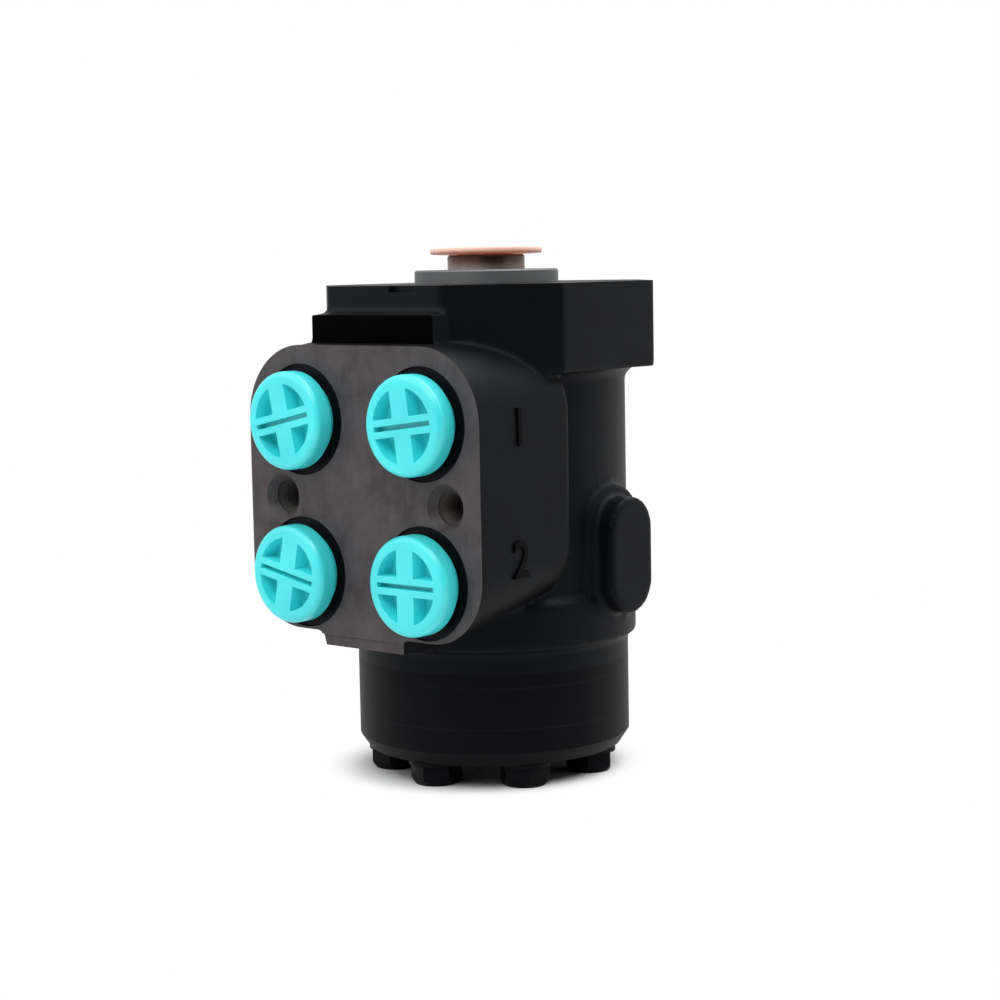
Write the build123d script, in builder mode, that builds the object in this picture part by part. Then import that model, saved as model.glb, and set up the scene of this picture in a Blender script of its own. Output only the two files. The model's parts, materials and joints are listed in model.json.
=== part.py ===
from build123d import *
from math import cos, hypot, pi, radians, sin, sqrt
import os

# An orbital steering unit: a hand-turned valve spool in a rotary sleeve, which meters oil through a
# seven-lobed gear set under the housing.
#
# Frame: the origin is the centre of the mounting flange's top face, on the spool's axis. +Z points along the
# spool to the steering column, and -Y is the outward normal of the port face. Millimetres.

# ------------------------------------------------------------------ general clearances
running_gap = 0.03  # radial gap of a shaft that turns in a bore
side_gap = 0.02  # end gap of a piece that turns between two faces
seat_gap = 0.02  # radial gap of a piece that is pushed into its seat
loose_gap = 0.25  # radial gap of a piece that must never touch
merge_depth = 1.0  # how far a profile runs into the solid that it joins, or out of the one it cuts

# ------------------------------------------------------------------ housing, outside
flange_flats = 99.0  # across the flats of the octagonal flange
flange_corner_reach = 51.3  # from the axis to a corner face
flange_thickness = 27.0
flange_edge = 1.0
neck_radius = 44.0
neck_blend = 2.5  # blend between flange and neck
collar_step = 2.4  # how far the collar stands out over the drum
collar_top = -98.6
collar_bottom = -112.0
collar_edge = 1.6
housing_bottom = -119.8

pilot_radius = 23.1
pilot_height = 4.3
pilot_edge = 0.5

pad_reach = 60.6  # from the axis to the port face
pad_back = 19.5
pad_width = 95.4
pad_top = -17.7
pad_bottom = -107.0
pad_top_round = 23.0
pad_bottom_round = 20.0
pad_edge = 1.2
pad_draft = 0.7  # growth of the pad's outline from its front to its back
pad_back_bottom = -96.5  # the underside climbs towards the neck

bridge_width = 50.2  # the block between flange and pad
bridge_reach = 54.5
bridge_top = -7.9
bridge_slope_top = -4.8
bridge_bottom = -19.5

heel_left = -16.5  # the block under the pad
heel_right = 15.5
heel_bottom = -110.8
heel_slant = 5.0
heel_reach = 59.2
heel_back = 40.0

boss_face = 52.8  # the oval boss on the side
boss_centre_y = 6.2
boss_centre_z = -85.3
boss_width = 21.0
boss_height = 36.6
boss_edge = 0.9
boss_foot_face = 45.6
boss_foot_margin = 3.6

notch_left = 3.0  # the small notch in the flange's top edge, over the port face
notch_width = 10.6
notch_depth = 2.0

# ------------------------------------------------------------------ threaded holes, at their tapping size
flange_bolt_diameter = 82.55
flange_bolt_count = 4
m10_tap_radius = 4.25
flange_hole_depth = 18.0

block_bolt_spacing = 67.8
block_bolt_z = -65.3
block_hole_depth = 20.0

port_spacing_x = 49.8
port_spacing_z = 47.6
port_middle_z = -64.6
port_radius = 9.5  # G1/2 at its tapping size
port_depth = 18.6
spotface_radius = 17.3
spotface_depth = 1.0

# ------------------------------------------------------------------ spool and sleeve
spool_top = 9.0
spool_neck_radius = 12.4
spool_neck_edge = 0.6
spool_radius = 15.0
sleeve_wall = 4.0
twist_limit = 8.0  # degrees of the spool in the sleeve, each way
sleeve_end_gap = 0.3
spline_teeth = 12  # 16/32 involute spline, drawn with straight flanks
spline_pitch_radius = 9.525
spline_minor_radius = 8.75
spline_major_radius = 10.3
spline_flank_slope = 30.0
spline_depth = 20.0
link_bore_radius = 11.0
link_bore_top = -33.5
spool_groove_width = 3.2
spool_groove_depth = 1.2
spool_groove_top = -56.0
spool_groove_length = 46.0
metering_top = -58.0  # the highest of the sleeve's rows of holes
metering_pitch = 13.0
metering_row_count = 4
metering_holes = 6
metering_radius = 1.7
oil_groove_width = 5.0
oil_groove_depth = 2.5

# ------------------------------------------------------------------ seals and thrust bearing
dust_seal_radius = 16.0
dust_seal_floor = 0.4
dust_seal_height = 3.6
lip_gap = 0.05
seal_radius = 15.6
seal_top = -3.2
seal_height = 3.6
seal_ring_radius = 13.9
seal_o_ring_height = 2.6
bearing_top = -11.6
race_inner_radius = 12.9
race_outer_radius = 18.2
race_thickness = 1.8
needle_radius = 1.0
needle_length = 3.4
needle_count = 16
needle_pitch_radius = 15.6
needle_gap = 0.05
cage_thickness = 1.4
cage_inner_radius = 13.1
cage_outer_radius = 18.0

# ------------------------------------------------------------------ centring springs and cross pin
spring_slot_width = 5.2
spring_slot_height = 9.2
spring_slot_middle = -25.8
leaf_thickness = 0.5
leaf_height = 8.8
leaf_gap = 0.06
leaf_bow = 0.9
spring_ring_wall = 1.2
spring_ring_height = 9.6
pin_radius = 4.0
pin_z = -42.0
pin_half_length = 18.4

# ------------------------------------------------------------------ gear set
plate_thickness = 4.4
ring_thickness = 13.0
cover_thickness = 11.8
cover_straight = 7.6  # height of the cover's straight side, above its bevel
cover_bevel = 2.8  # how far the bevel comes in
seam_edge = 0.3  # broken edges of the stacked pieces
lobe_count = 7
lobe_pitch_radius = 32.5
lobe_radius = 8.0
rotor_offset = 3.3
tip_gap = 0.06
cavity_gap = 0.3
first_lobe = -84.8  # degrees from +X: the lobe nearest to the port side
bolt_hole_radius = 4.4
kidney_pitch_radius = 26.0
kidney_radius = 2.3
plate_bore_radius = 13.5

# ------------------------------------------------------------------ drive link
link_radius = 6.8
fork_radius = 9.8
fork_top_above_pin = 6.2
fork_slot_gap = 0.12
fork_floor_gap = 0.7
fork_length = 17.0
link_tooth_gap = 0.14
link_crown = 0.3  # each flank draws in by this much at the ends of a tooth
link_gear_length = 9.6
link_gear_gap = 0.6  # between the link's end and the spacer
link_tip_radius = 9.9
link_root_radius = 8.3
spacer_thickness = 1.8
spacer_radius = 8.2

# ------------------------------------------------------------------ fasteners, O-rings, check valve
bolt_radius = 4.0
bolt_grip = 16.0  # thread in the housing
bolt_head_flats = 13.0
bolt_head_height = 6.4
bolt_head_edge = 1.1
washer_radius = 8.2
washer_thickness = 1.6
o_ring_wall = 2.0  # between a bolt's hole and the groove of an O-ring
drum_wall = 2.5  # outside that groove
o_ring_width = 2.2
o_ring_height = 1.5
o_ring_slack = 0.2
bushing_radius = 5.0
bushing_top = -97.8
bushing_recess = 0.6
ball_radius = 4.25
ball_lift = 1.4
ball_chamber_radius = 4.6
ball_seat_radius = 3.0
ball_passage_top = -80.0
ball_pin_radius = 2.0
ball_rest_gap = 0.05

# ------------------------------------------------------------------ transport plugs and spline cap
plug_head_radius = 15.2
plug_stand = 8.5  # from the port face to the plug's face
plug_head_depth = 6.9
plug_waist_radius = 12.8
plug_stem_radius = 9.3
plug_stem_length = 10.0
plug_edge = 0.8
plug_pocket_radius = 12.0
plug_pocket_depth = 4.6
plug_rib_width = 6.6
plug_bar_width = 5.6
plug_slot_width = 1.8
plug_slot_depth = 1.6
plug_turns = (12.5, 7.4, -11.4, 0.0)  # degrees: upper left, upper right, lower left, lower right

cap_radius = 18.0
cap_thickness = 1.5
cap_edge = 0.4
cap_height = 9.5  # from the flange face to the underside of the cap, on the axis
cap_tilt = 1.6
cap_stem_radius = 8.3
cap_stem_length = 6.0
cap_stem_wall = 1.4

# ------------------------------------------------------------------ worked-out sizes
o_ring_pitch_radius = lobe_pitch_radius + bolt_hole_radius + o_ring_wall + o_ring_slack + o_ring_width / 2
drum_radius = o_ring_pitch_radius + o_ring_width / 2 + o_ring_slack + drum_wall  # the stack of plates under the housing
collar_radius = drum_radius + collar_step
cover_foot_radius = drum_radius - cover_bevel
metering_rows = [metering_top - metering_pitch * row for row in range(metering_row_count)]
bore_radius = spool_radius + sleeve_wall + 2 * running_gap
sleeve_radius = bore_radius - running_gap
sleeve_bore_radius = spool_radius + running_gap
sleeve_bottom = housing_bottom + sleeve_end_gap
race_gap = 2 * needle_radius + 2 * needle_gap
upper_race_bottom = bearing_top - race_thickness
lower_race_top = upper_race_bottom - race_gap
sleeve_top = lower_race_top - race_thickness
needle_z = upper_race_bottom - race_gap / 2
spool_shoulder = sleeve_top - 2 * side_gap
pin_hole_radius = pin_radius + spool_radius * sin(radians(twist_limit)) + loose_gap

plate_bottom = housing_bottom - plate_thickness
ring_bottom = plate_bottom - ring_thickness
cover_bottom = ring_bottom - cover_thickness
head_seat = cover_bottom - washer_thickness
bolt_tip = housing_bottom + bolt_grip
cavity_radius = lobe_pitch_radius + 2 * rotor_offset - lobe_radius + cavity_gap
rotor_middle = (plate_bottom + ring_bottom) / 2
rotor_x = -rotor_offset * cos(radians(first_lobe))
rotor_y = -rotor_offset * sin(radians(first_lobe))
link_length = hypot(pin_z - rotor_middle, rotor_offset)
link_gear_low = side_gap + spacer_thickness + link_gear_gap - ring_thickness / 2  # from the rotor's middle
link_gear_middle = link_gear_low + link_gear_length / 2
special_angle = first_lobe + 360 / lobe_count * 4  # the special bolt stands on the far side from the ports
special_x = lobe_pitch_radius * cos(radians(special_angle))
special_y = lobe_pitch_radius * sin(radians(special_angle))
ball_seat_z = bushing_top + 2 * ball_radius + ball_lift + 0.6
seated_ball_z = ball_seat_z - sqrt(ball_radius**2 - ball_seat_radius**2)
ball_z = seated_ball_z - ball_lift
ball_pin_top = ball_z - ball_radius - ball_rest_gap

port_field = Plane(origin=(0, -pad_reach, port_middle_z), x_dir=(1, 0, 0), z_dir=(0, -1, 0))
block_bolt_field = Plane(origin=(0, -pad_reach, block_bolt_z), x_dir=(1, 0, 0), z_dir=(0, -1, 0))
special_place = (special_x, special_y)
upwards = (Align.CENTER, Align.CENTER, Align.MIN)


def drilling(start, end, radius):
    """A round drilling from start to end, cut from the part that is being built."""
    way = Vector(*end) - Vector(*start)
    with Locations(Plane(origin=start, z_dir=way)):
        Cylinder(radius, way.length, align=upwards, mode=Mode.SUBTRACT)


def ring_profile(inner, outer, low, high, mode=Mode.ADD):
    """The cross-section of a ring, in the sketch on Plane.XZ that is being built."""
    with Locations(((inner + outer) / 2, (low + high) / 2)):
        Rectangle(outer - inner, high - low, mode=mode)


def finish(builder, name):
    """Labels a finished piece and writes it."""
    builder.part.label = name
    export_step(builder.part, f"parts/{name}.step")


def rotor_outline(steps=84):
    """Points of the rotor's outline round its own centre: an epitrochoid, drawn in by the lobes' radius."""
    points = []
    for step in range(steps):
        t = 2 * pi * step / steps
        x = lobe_pitch_radius * cos(t) + rotor_offset * cos(lobe_count * t)
        y = lobe_pitch_radius * sin(t) + rotor_offset * sin(lobe_count * t)
        dx = -lobe_pitch_radius * sin(t) - lobe_count * rotor_offset * sin(lobe_count * t)
        dy = lobe_pitch_radius * cos(t) + lobe_count * rotor_offset * cos(lobe_count * t)
        inset = (lobe_radius + tip_gap) / hypot(dx, dy)
        points.append((x - dy * inset, y + dx * inset))
    return points


def tooth_outline(root, tip, width_at_pitch):
    """Corners of one straight-flanked tooth or tooth space that points along +X."""
    slope = 2 * sin(radians(spline_flank_slope)) / cos(radians(spline_flank_slope))
    root_half = (width_at_pitch + (spline_pitch_radius - root) * slope) / 2
    tip_half = (width_at_pitch - (tip - spline_pitch_radius) * slope) / 2
    return [(root, -root_half), (tip, -tip_half), (tip, tip_half), (root, root_half)]


spline_space = pi * spline_pitch_radius / spline_teeth


os.makedirs("parts", exist_ok=True)

# ================================================================== housing
# The port pad: a lofted block with rounded corners, whose underside climbs towards the neck.
with BuildPart() as pad_block:
    with BuildSketch(Plane.XZ.offset(pad_reach)):
        with Locations((0, (pad_top + pad_bottom) / 2)):
            Rectangle(pad_width, pad_top - pad_bottom)
        fillet(vertices().group_by(Axis.Y)[-1], pad_top_round)
        fillet(vertices().group_by(Axis.Y)[0], pad_bottom_round)
    with BuildSketch(Plane.XZ.offset(pad_back)):
        with Locations((0, (pad_top + pad_draft + pad_back_bottom) / 2)):
            Rectangle(pad_width + 2 * pad_draft, pad_top + pad_draft - pad_back_bottom)
        fillet(vertices().group_by(Axis.Y)[-1], pad_top_round + pad_draft)
        fillet(vertices().group_by(Axis.Y)[0], pad_bottom_round + pad_draft)
    loft(ruled=True)
    fillet(faces().sort_by(Axis.Y)[0].edges(), pad_edge)

with BuildPart() as housing:
    # mounting flange
    with BuildSketch(Plane.XY.offset(-flange_thickness)):
        Rectangle(flange_flats, flange_flats)
        chamfer(vertices(), flange_flats - flange_corner_reach * sqrt(2))
    extrude(amount=flange_thickness)
    chamfer(edges().group_by(Axis.Z)[0] + edges().group_by(Axis.Z)[-1], flange_edge)
    # neck, collar and the seat of the gear set
    with BuildSketch(Plane.XZ):
        with BuildLine():
            Polyline(
                (0, -flange_thickness / 2),
                (neck_radius + neck_blend, -flange_thickness),
                (neck_radius, -flange_thickness - neck_blend),
                (neck_radius, collar_top + collar_edge),
                (collar_radius - collar_edge, collar_top),
                (collar_radius, collar_top - collar_edge),
                (collar_radius, collar_bottom),
                (drum_radius, collar_bottom - collar_radius + drum_radius),
                (drum_radius, housing_bottom + seam_edge),
                (drum_radius - seam_edge, housing_bottom),
                (0, housing_bottom),
                close=True,
            )
        make_face()
    revolve(axis=Axis.Z)
    # pilot ring
    with BuildSketch(Plane.XY.offset(-flange_thickness / 2)):
        Circle(pilot_radius)
    extrude(amount=pilot_height + flange_thickness / 2)
    chamfer(edges().group_by(Axis.Z)[-1], pilot_edge)
    # port pad
    add(pad_block.part)
    # bridge between flange and pad
    with BuildSketch(Plane.YZ):
        with BuildLine():
            Polyline(
                (-pad_back, bridge_slope_top),
                (-flange_flats / 2, bridge_slope_top),
                (-bridge_reach, bridge_top),
                (-bridge_reach, bridge_bottom),
                (-pad_back, bridge_bottom),
                close=True,
            )
        make_face()
    extrude(amount=bridge_width / 2, both=True)
    # heel under the pad
    with BuildSketch(Plane.XZ.offset(heel_back)):
        with BuildLine():
            Polyline(
                (heel_left, heel_bottom),
                (heel_right, heel_bottom),
                (heel_right, (pad_bottom + pad_back_bottom) / 2),
                (heel_left - heel_slant, (pad_bottom + pad_back_bottom) / 2),
                (heel_left - heel_slant, pad_bottom),
                close=True,
            )
        make_face()
    extrude(amount=heel_reach - heel_back)
    # oval boss on its foot
    with BuildSketch(Plane.YZ.offset(neck_radius / 2)):
        with Locations((boss_centre_y, boss_centre_z)):
            SlotOverall(boss_height + 2 * boss_foot_margin, boss_width + 2 * boss_foot_margin, rotation=90)
    extrude(amount=boss_foot_face - neck_radius / 2)
    with BuildSketch(Plane.YZ.offset(neck_radius / 2)):
        with Locations((boss_centre_y, boss_centre_z)):
            SlotOverall(boss_height, boss_width, rotation=90)
    extrude(amount=boss_face - neck_radius / 2)
    fillet(faces().filter_by(Axis.X).sort_by(Axis.X)[-1].edges(), boss_edge)
    # notch in the flange's top edge
    with Locations((notch_left + notch_width / 2, -flange_flats / 2, 0)):
        Box(notch_width, 2 * notch_depth, 2 * notch_depth, mode=Mode.SUBTRACT)

    # stepped bore: dust seal, shaft seal, journal, bearing and sleeve
    with BuildSketch(Plane.XZ):
        ring_profile(0, spool_neck_radius + loose_gap, dust_seal_floor, seal_top)
        ring_profile(0, dust_seal_radius, dust_seal_floor, pilot_height)
        ring_profile(0, seal_radius, seal_top - seal_height, seal_top)
        ring_profile(0, spool_neck_radius + running_gap, bearing_top, seal_top)
        ring_profile(0, bore_radius, housing_bottom, bearing_top)
        for row in metering_rows:
            half = oil_groove_width / 2
            ring_profile(0, bore_radius + oil_groove_depth, row - half, row + half)
        # groove of the O-ring in the bottom face
        ring_profile(
            o_ring_pitch_radius - o_ring_width / 2 - o_ring_slack,
            o_ring_pitch_radius + o_ring_width / 2 + o_ring_slack,
            housing_bottom,
            housing_bottom + o_ring_height,
        )
    revolve(axis=Axis.Z, mode=Mode.SUBTRACT)
    # mounting threads in the flange
    with PolarLocations(flange_bolt_diameter / 2, flange_bolt_count, start_angle=45):
        Hole(m10_tap_radius, flange_hole_depth)
    # ports, and the threads of a valve block between them
    with Locations(port_field):
        with GridLocations(port_spacing_x, port_spacing_z, 2, 2):
            CounterBoreHole(port_radius, spotface_radius, spotface_depth, port_depth)
    with Locations(block_bolt_field):
        with GridLocations(block_bolt_spacing, 0, 2, 1):
            Hole(m10_tap_radius, block_hole_depth)
    # threads of the cover bolts
    with BuildSketch(Plane.XY.offset(housing_bottom)):
        with PolarLocations(lobe_pitch_radius, lobe_count, start_angle=first_lobe):
            Circle(bolt_radius + seat_gap)
    extrude(amount=bolt_grip + 2 * merge_depth, mode=Mode.SUBTRACT)
    # check valve: bushing thread, ball chamber, seat and passage, in the special bolt's hole
    with BuildSketch(Plane.XY.offset(housing_bottom)):
        with Locations(special_place):
            Circle(bushing_radius + seat_gap)
    extrude(amount=bushing_top - housing_bottom, mode=Mode.SUBTRACT)
    with BuildSketch(Plane.XY.offset(bushing_top)):
        with Locations(special_place):
            Circle(ball_chamber_radius)
    extrude(amount=ball_seat_z - bushing_top, mode=Mode.SUBTRACT)
    drilling((*special_place, ball_seat_z), (*special_place, ball_passage_top), ball_seat_radius)
    drilling((*special_place, metering_rows[2]), (0, 0, metering_rows[2]), ball_seat_radius - 0.6)
finish(housing, "housing")

# ================================================================== seals round the neck
with BuildPart() as dust_seal:
    with BuildSketch(Plane.XZ):
        with BuildLine():
            Polyline(
                (spool_neck_radius + lip_gap, dust_seal_floor + dust_seal_height),
                (spool_neck_radius + 1.2, dust_seal_floor + dust_seal_height - 1.4),
                (spool_neck_radius + lip_gap + 0.5, dust_seal_floor),
                (dust_seal_radius - seat_gap, dust_seal_floor),
                (dust_seal_radius - seat_gap, dust_seal_floor + dust_seal_height - 0.4),
                (dust_seal_radius - 1.4, dust_seal_floor + dust_seal_height - 0.4),
                (spool_neck_radius + 1.0, dust_seal_floor + dust_seal_height),
                close=True,
            )
        make_face()
    revolve(axis=Axis.Z)
finish(dust_seal, "dust_seal")

with BuildPart() as shaft_seal:
    with BuildSketch(Plane.XZ):
        ring_profile(
            spool_neck_radius + lip_gap,
            seal_ring_radius,
            seal_top - seal_height + side_gap,
            seal_top - side_gap,
        )
    revolve(axis=Axis.Z)
finish(shaft_seal, "shaft_seal")

with BuildPart() as seal_o_ring:
    with BuildSketch(Plane.XZ):
        with Locations(((seal_ring_radius + seal_radius) / 2, seal_top - seal_height / 2)):
            Rectangle(seal_radius - seal_ring_radius - 2 * seat_gap, seal_o_ring_height)
        chamfer(vertices(), (seal_radius - seal_ring_radius) / 4)
    revolve(axis=Axis.Z)
finish(seal_o_ring, "seal_o_ring")

# ================================================================== thrust bearing
with BuildPart() as upper_race:
    with BuildSketch(Plane.XZ):
        ring_profile(race_inner_radius, race_outer_radius, upper_race_bottom, bearing_top)
    revolve(axis=Axis.Z)
finish(upper_race, "upper_race")

with BuildPart() as lower_race:
    with BuildSketch(Plane.XZ):
        ring_profile(race_inner_radius, race_outer_radius, sleeve_top, lower_race_top)
    revolve(axis=Axis.Z)
finish(lower_race, "lower_race")

with BuildPart() as needle_cage:
    with BuildSketch(Plane.XY.offset(needle_z - cage_thickness / 2)):
        Circle(cage_outer_radius)
        Circle(cage_inner_radius, mode=Mode.SUBTRACT)
        with PolarLocations(needle_pitch_radius, needle_count):
            Rectangle(
                needle_length + 2 * needle_gap, 2 * needle_radius + 2 * needle_gap, mode=Mode.SUBTRACT
            )
    extrude(amount=cage_thickness)
finish(needle_cage, "needle_cage")

with BuildPart() as needles:
    with Locations((0, 0, needle_z)):
        with PolarLocations(needle_pitch_radius, needle_count):
            Cylinder(needle_radius, needle_length, rotation=(0, 90, 0))
finish(needles, "needles")

# ================================================================== spool
with BuildPart() as spool:
    with BuildSketch(Plane.XZ):
        ring_profile(0, spool_neck_radius, spool_shoulder - merge_depth, spool_top)
        ring_profile(0, spool_radius, sleeve_bottom, spool_shoulder)
    revolve(axis=Axis.Z)
    chamfer(edges().group_by(Axis.Z)[-1], spool_neck_edge)
    # spline socket for the steering column
    with BuildSketch(Plane.XY.offset(spool_top)):
        Circle(spline_minor_radius)
        with PolarLocations(0, spline_teeth):
            Polygon(*tooth_outline(spline_minor_radius - merge_depth / 2, spline_major_radius, spline_space), align=None)
    extrude(amount=-spline_depth, mode=Mode.SUBTRACT)
    # bore of the drive link
    with BuildSketch(Plane.XY.offset(sleeve_bottom)):
        Circle(link_bore_radius)
    extrude(amount=link_bore_top - sleeve_bottom, mode=Mode.SUBTRACT)
    # slot of the centring springs, and the wide hole that lets the cross pin swing
    with Locations((0, 0, spring_slot_middle)):
        Box(spring_slot_width, 2 * (spool_radius + merge_depth), spring_slot_height, mode=Mode.SUBTRACT)
    drilling((-spool_radius - merge_depth, 0, pin_z), (spool_radius + merge_depth, 0, pin_z), pin_hole_radius)
    # metering grooves
    with Locations((0, 0, spool_groove_top - spool_groove_length / 2)):
        with PolarLocations(spool_radius, metering_holes, start_angle=30):
            Box(2 * spool_groove_depth, spool_groove_width, spool_groove_length, mode=Mode.SUBTRACT)
finish(spool, "spool")

# ================================================================== sleeve
with BuildPart() as sleeve:
    with BuildSketch(Plane.XZ):
        ring_profile(sleeve_bore_radius, sleeve_radius, sleeve_bottom, sleeve_top)
        ring_profile(
            sleeve_radius - spring_ring_wall,
            sleeve_radius + merge_depth,
            spring_slot_middle - spring_ring_height / 2,
            spring_slot_middle + spring_ring_height / 2,
            Mode.SUBTRACT,
        )
    revolve(axis=Axis.Z)
    # windows of the spring ends, and the tight hole of the cross pin
    with Locations((0, 0, spring_slot_middle)):
        Box(spring_slot_width, 2 * (sleeve_radius + merge_depth), spring_slot_height, mode=Mode.SUBTRACT)
    drilling(
        (-sleeve_radius - merge_depth, 0, pin_z), (sleeve_radius + merge_depth, 0, pin_z), pin_radius + seat_gap
    )
    # rows of metering holes, each turned by half a pitch from the last
    for number, row in enumerate(metering_rows):
        with Locations((0, 0, row)):
            start = 30 + 180 / metering_holes * (number % 2)
            with PolarLocations((sleeve_bore_radius + sleeve_radius) / 2, metering_holes, start_angle=start):
                Cylinder(metering_radius, 2 * sleeve_wall, rotation=(0, 90, 0), mode=Mode.SUBTRACT)
finish(sleeve, "sleeve")

with BuildPart() as spring_ring:
    with BuildSketch(Plane.XZ):
        ring_profile(
            sleeve_radius - spring_ring_wall + seat_gap,
            sleeve_radius - running_gap,
            spring_slot_middle - spring_ring_height / 2 + side_gap,
            spring_slot_middle + spring_ring_height / 2 - side_gap,
        )
    revolve(axis=Axis.Z)
finish(spring_ring, "spring_ring")

with BuildPart() as cross_pin:
    with Locations((0, 0, pin_z)):
        Cylinder(pin_radius, 2 * pin_half_length, rotation=(0, 90, 0))
    chamfer(edges().filter_by(GeomType.CIRCLE), 0.4)
finish(cross_pin, "cross_pin")

# Two flat leaves between two bowed pairs. The ends lie in the sleeve's windows.
leaf_reach = sleeve_radius - spring_ring_wall - 0.3
with BuildPart() as centring_springs:
    with BuildSketch(Plane.XY.offset(spring_slot_middle - leaf_height / 2)):
        for side in (-1, 1):
            with Locations((side * (leaf_thickness + leaf_gap) / 2, 0)):
                Rectangle(leaf_thickness, 2 * leaf_reach)
            for pair in (1, 2):
                near = side * (pair * (leaf_thickness + leaf_gap) + leaf_gap / 2)
                far = near + side * leaf_thickness
                with BuildLine():
                    ThreePointArc((near, -leaf_reach), (near + side * leaf_bow, 0), (near, leaf_reach))
                    Line((near, leaf_reach), (far, leaf_reach))
                    ThreePointArc((far, leaf_reach), (far + side * leaf_bow, 0), (far, -leaf_reach))
                    Line((far, -leaf_reach), (near, -leaf_reach))
                make_face()
    extrude(amount=leaf_height)
finish(centring_springs, "centring_springs")

# ================================================================== gear set
# One crowned tooth of the drive link: thick in the middle of its length and thinner at both ends.
rotor_centre = (rotor_x, rotor_y)
with BuildPart() as link_tooth:
    for station, draw_in in ((-0.5, link_crown), (0, 0), (0.5, link_crown)):
        with BuildSketch(Plane.XY.offset(link_gear_middle + station * link_gear_length)):
            thickness = spline_space - 2 * link_tooth_gap - 2 * draw_in
            Polygon(*tooth_outline(link_root_radius - merge_depth, link_tip_radius - draw_in, thickness), align=None)
    loft()

# The link is built upright round the rotor's place, then leaned so that its fork reaches the cross pin.
with BuildPart() as upright_link:
    with BuildSketch(Plane.XZ):
        ring_profile(0, link_root_radius, link_gear_low, link_gear_low + link_gear_length)
        ring_profile(0, link_radius, 0, link_length)
        ring_profile(0, fork_radius, link_length + fork_top_above_pin - fork_length, link_length + fork_top_above_pin)
    revolve(axis=Axis.Z)
    fork_foot = edges().filter_by(GeomType.CIRCLE).filter_by(lambda edge: abs(edge.radius - fork_radius) < 0.01)
    chamfer(fork_foot, 2.0)
    with PolarLocations(0, spline_teeth):
        add(link_tooth.part)
    with Locations((0, 0, link_length - pin_radius - fork_floor_gap)):
        Box(
            2 * fork_radius,
            2 * pin_radius + 2 * fork_slot_gap,
            2 * pin_radius + fork_top_above_pin + fork_floor_gap,
            align=upwards,
            mode=Mode.SUBTRACT,
        )

link_lean = Plane(
    origin=(rotor_x, rotor_y, rotor_middle),
    x_dir=(1, 0, rotor_x / (pin_z - rotor_middle)),
    z_dir=(-rotor_x, -rotor_y, pin_z - rotor_middle),
)
with BuildPart() as drive_link:
    with Locations(link_lean):
        add(upright_link.part)
finish(drive_link, "drive_link")

with BuildPart() as rotor:
    with BuildSketch(Plane.XY.offset(ring_bottom + side_gap)):
        with Locations((rotor_x, rotor_y)):
            with BuildLine(Location((rotor_x, rotor_y, 0), (0, 0, first_lobe))):
                Spline(*rotor_outline(), periodic=True)
            make_face()
            Circle(spline_minor_radius, mode=Mode.SUBTRACT)
            with PolarLocations(0, spline_teeth):
                Polygon(
                    *tooth_outline(spline_minor_radius - merge_depth / 2, spline_major_radius, spline_space),
                    align=None,
                    mode=Mode.SUBTRACT,
                )
    extrude(amount=ring_thickness - 2 * side_gap)
finish(rotor, "rotor")

with BuildPart() as stator_ring:
    with BuildSketch(Plane.XY.offset(ring_bottom)):
        Circle(drum_radius)
        Circle(cavity_radius, mode=Mode.SUBTRACT)
        with PolarLocations(lobe_pitch_radius, lobe_count, start_angle=first_lobe):
            Circle(lobe_radius)
        with PolarLocations(lobe_pitch_radius, lobe_count, start_angle=first_lobe):
            Circle(bolt_hole_radius, mode=Mode.SUBTRACT)
    extrude(amount=ring_thickness)
    chamfer(edges().filter_by(GeomType.CIRCLE).group_by(SortBy.RADIUS)[-1], seam_edge)
    with BuildSketch(Plane.XZ):
        ring_profile(
            o_ring_pitch_radius - o_ring_width / 2 - o_ring_slack,
            o_ring_pitch_radius + o_ring_width / 2 + o_ring_slack,
            plate_bottom - o_ring_height,
            plate_bottom,
        )
    revolve(axis=Axis.Z, mode=Mode.SUBTRACT)
finish(stator_ring, "stator_ring")

with BuildPart() as distributor_plate:
    with BuildSketch(Plane.XY.offset(plate_bottom)):
        Circle(drum_radius)
        Circle(plate_bore_radius, mode=Mode.SUBTRACT)
        with PolarLocations(lobe_pitch_radius, lobe_count, start_angle=first_lobe):
            Circle(bolt_hole_radius, mode=Mode.SUBTRACT)
        with PolarLocations(kidney_pitch_radius, lobe_count, start_angle=first_lobe + 180 / lobe_count):
            Circle(kidney_radius, mode=Mode.SUBTRACT)
    extrude(amount=plate_thickness)
    chamfer(edges().filter_by(GeomType.CIRCLE).group_by(SortBy.RADIUS)[-1], seam_edge)
finish(distributor_plate, "distributor_plate")

with BuildPart() as spacer:
    with BuildSketch(Plane.XY.offset(ring_bottom + side_gap)):
        with Locations((rotor_x, rotor_y)):
            Circle(spacer_radius)
    extrude(amount=spacer_thickness)
finish(spacer, "spacer")

with BuildPart() as end_cover:
    with BuildSketch(Plane.XZ):
        with BuildLine():
            Polyline(
                (0, ring_bottom),
                (drum_radius - seam_edge, ring_bottom),
                (drum_radius, ring_bottom - seam_edge),
                (drum_radius, ring_bottom - cover_straight),
                (cover_foot_radius, cover_bottom),
                (0, cover_bottom),
                close=True,
            )
        make_face()
        ring_profile(
            o_ring_pitch_radius - o_ring_width / 2 - o_ring_slack,
            o_ring_pitch_radius + o_ring_width / 2 + o_ring_slack,
            ring_bottom - o_ring_height,
            ring_bottom,
            Mode.SUBTRACT,
        )
    revolve(axis=Axis.Z)
    with BuildSketch(Plane.XY.offset(cover_bottom)):
        with PolarLocations(lobe_pitch_radius, lobe_count, start_angle=first_lobe):
            Circle(bolt_hole_radius)
    extrude(amount=cover_thickness, mode=Mode.SUBTRACT)
finish(end_cover, "end_cover")

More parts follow.
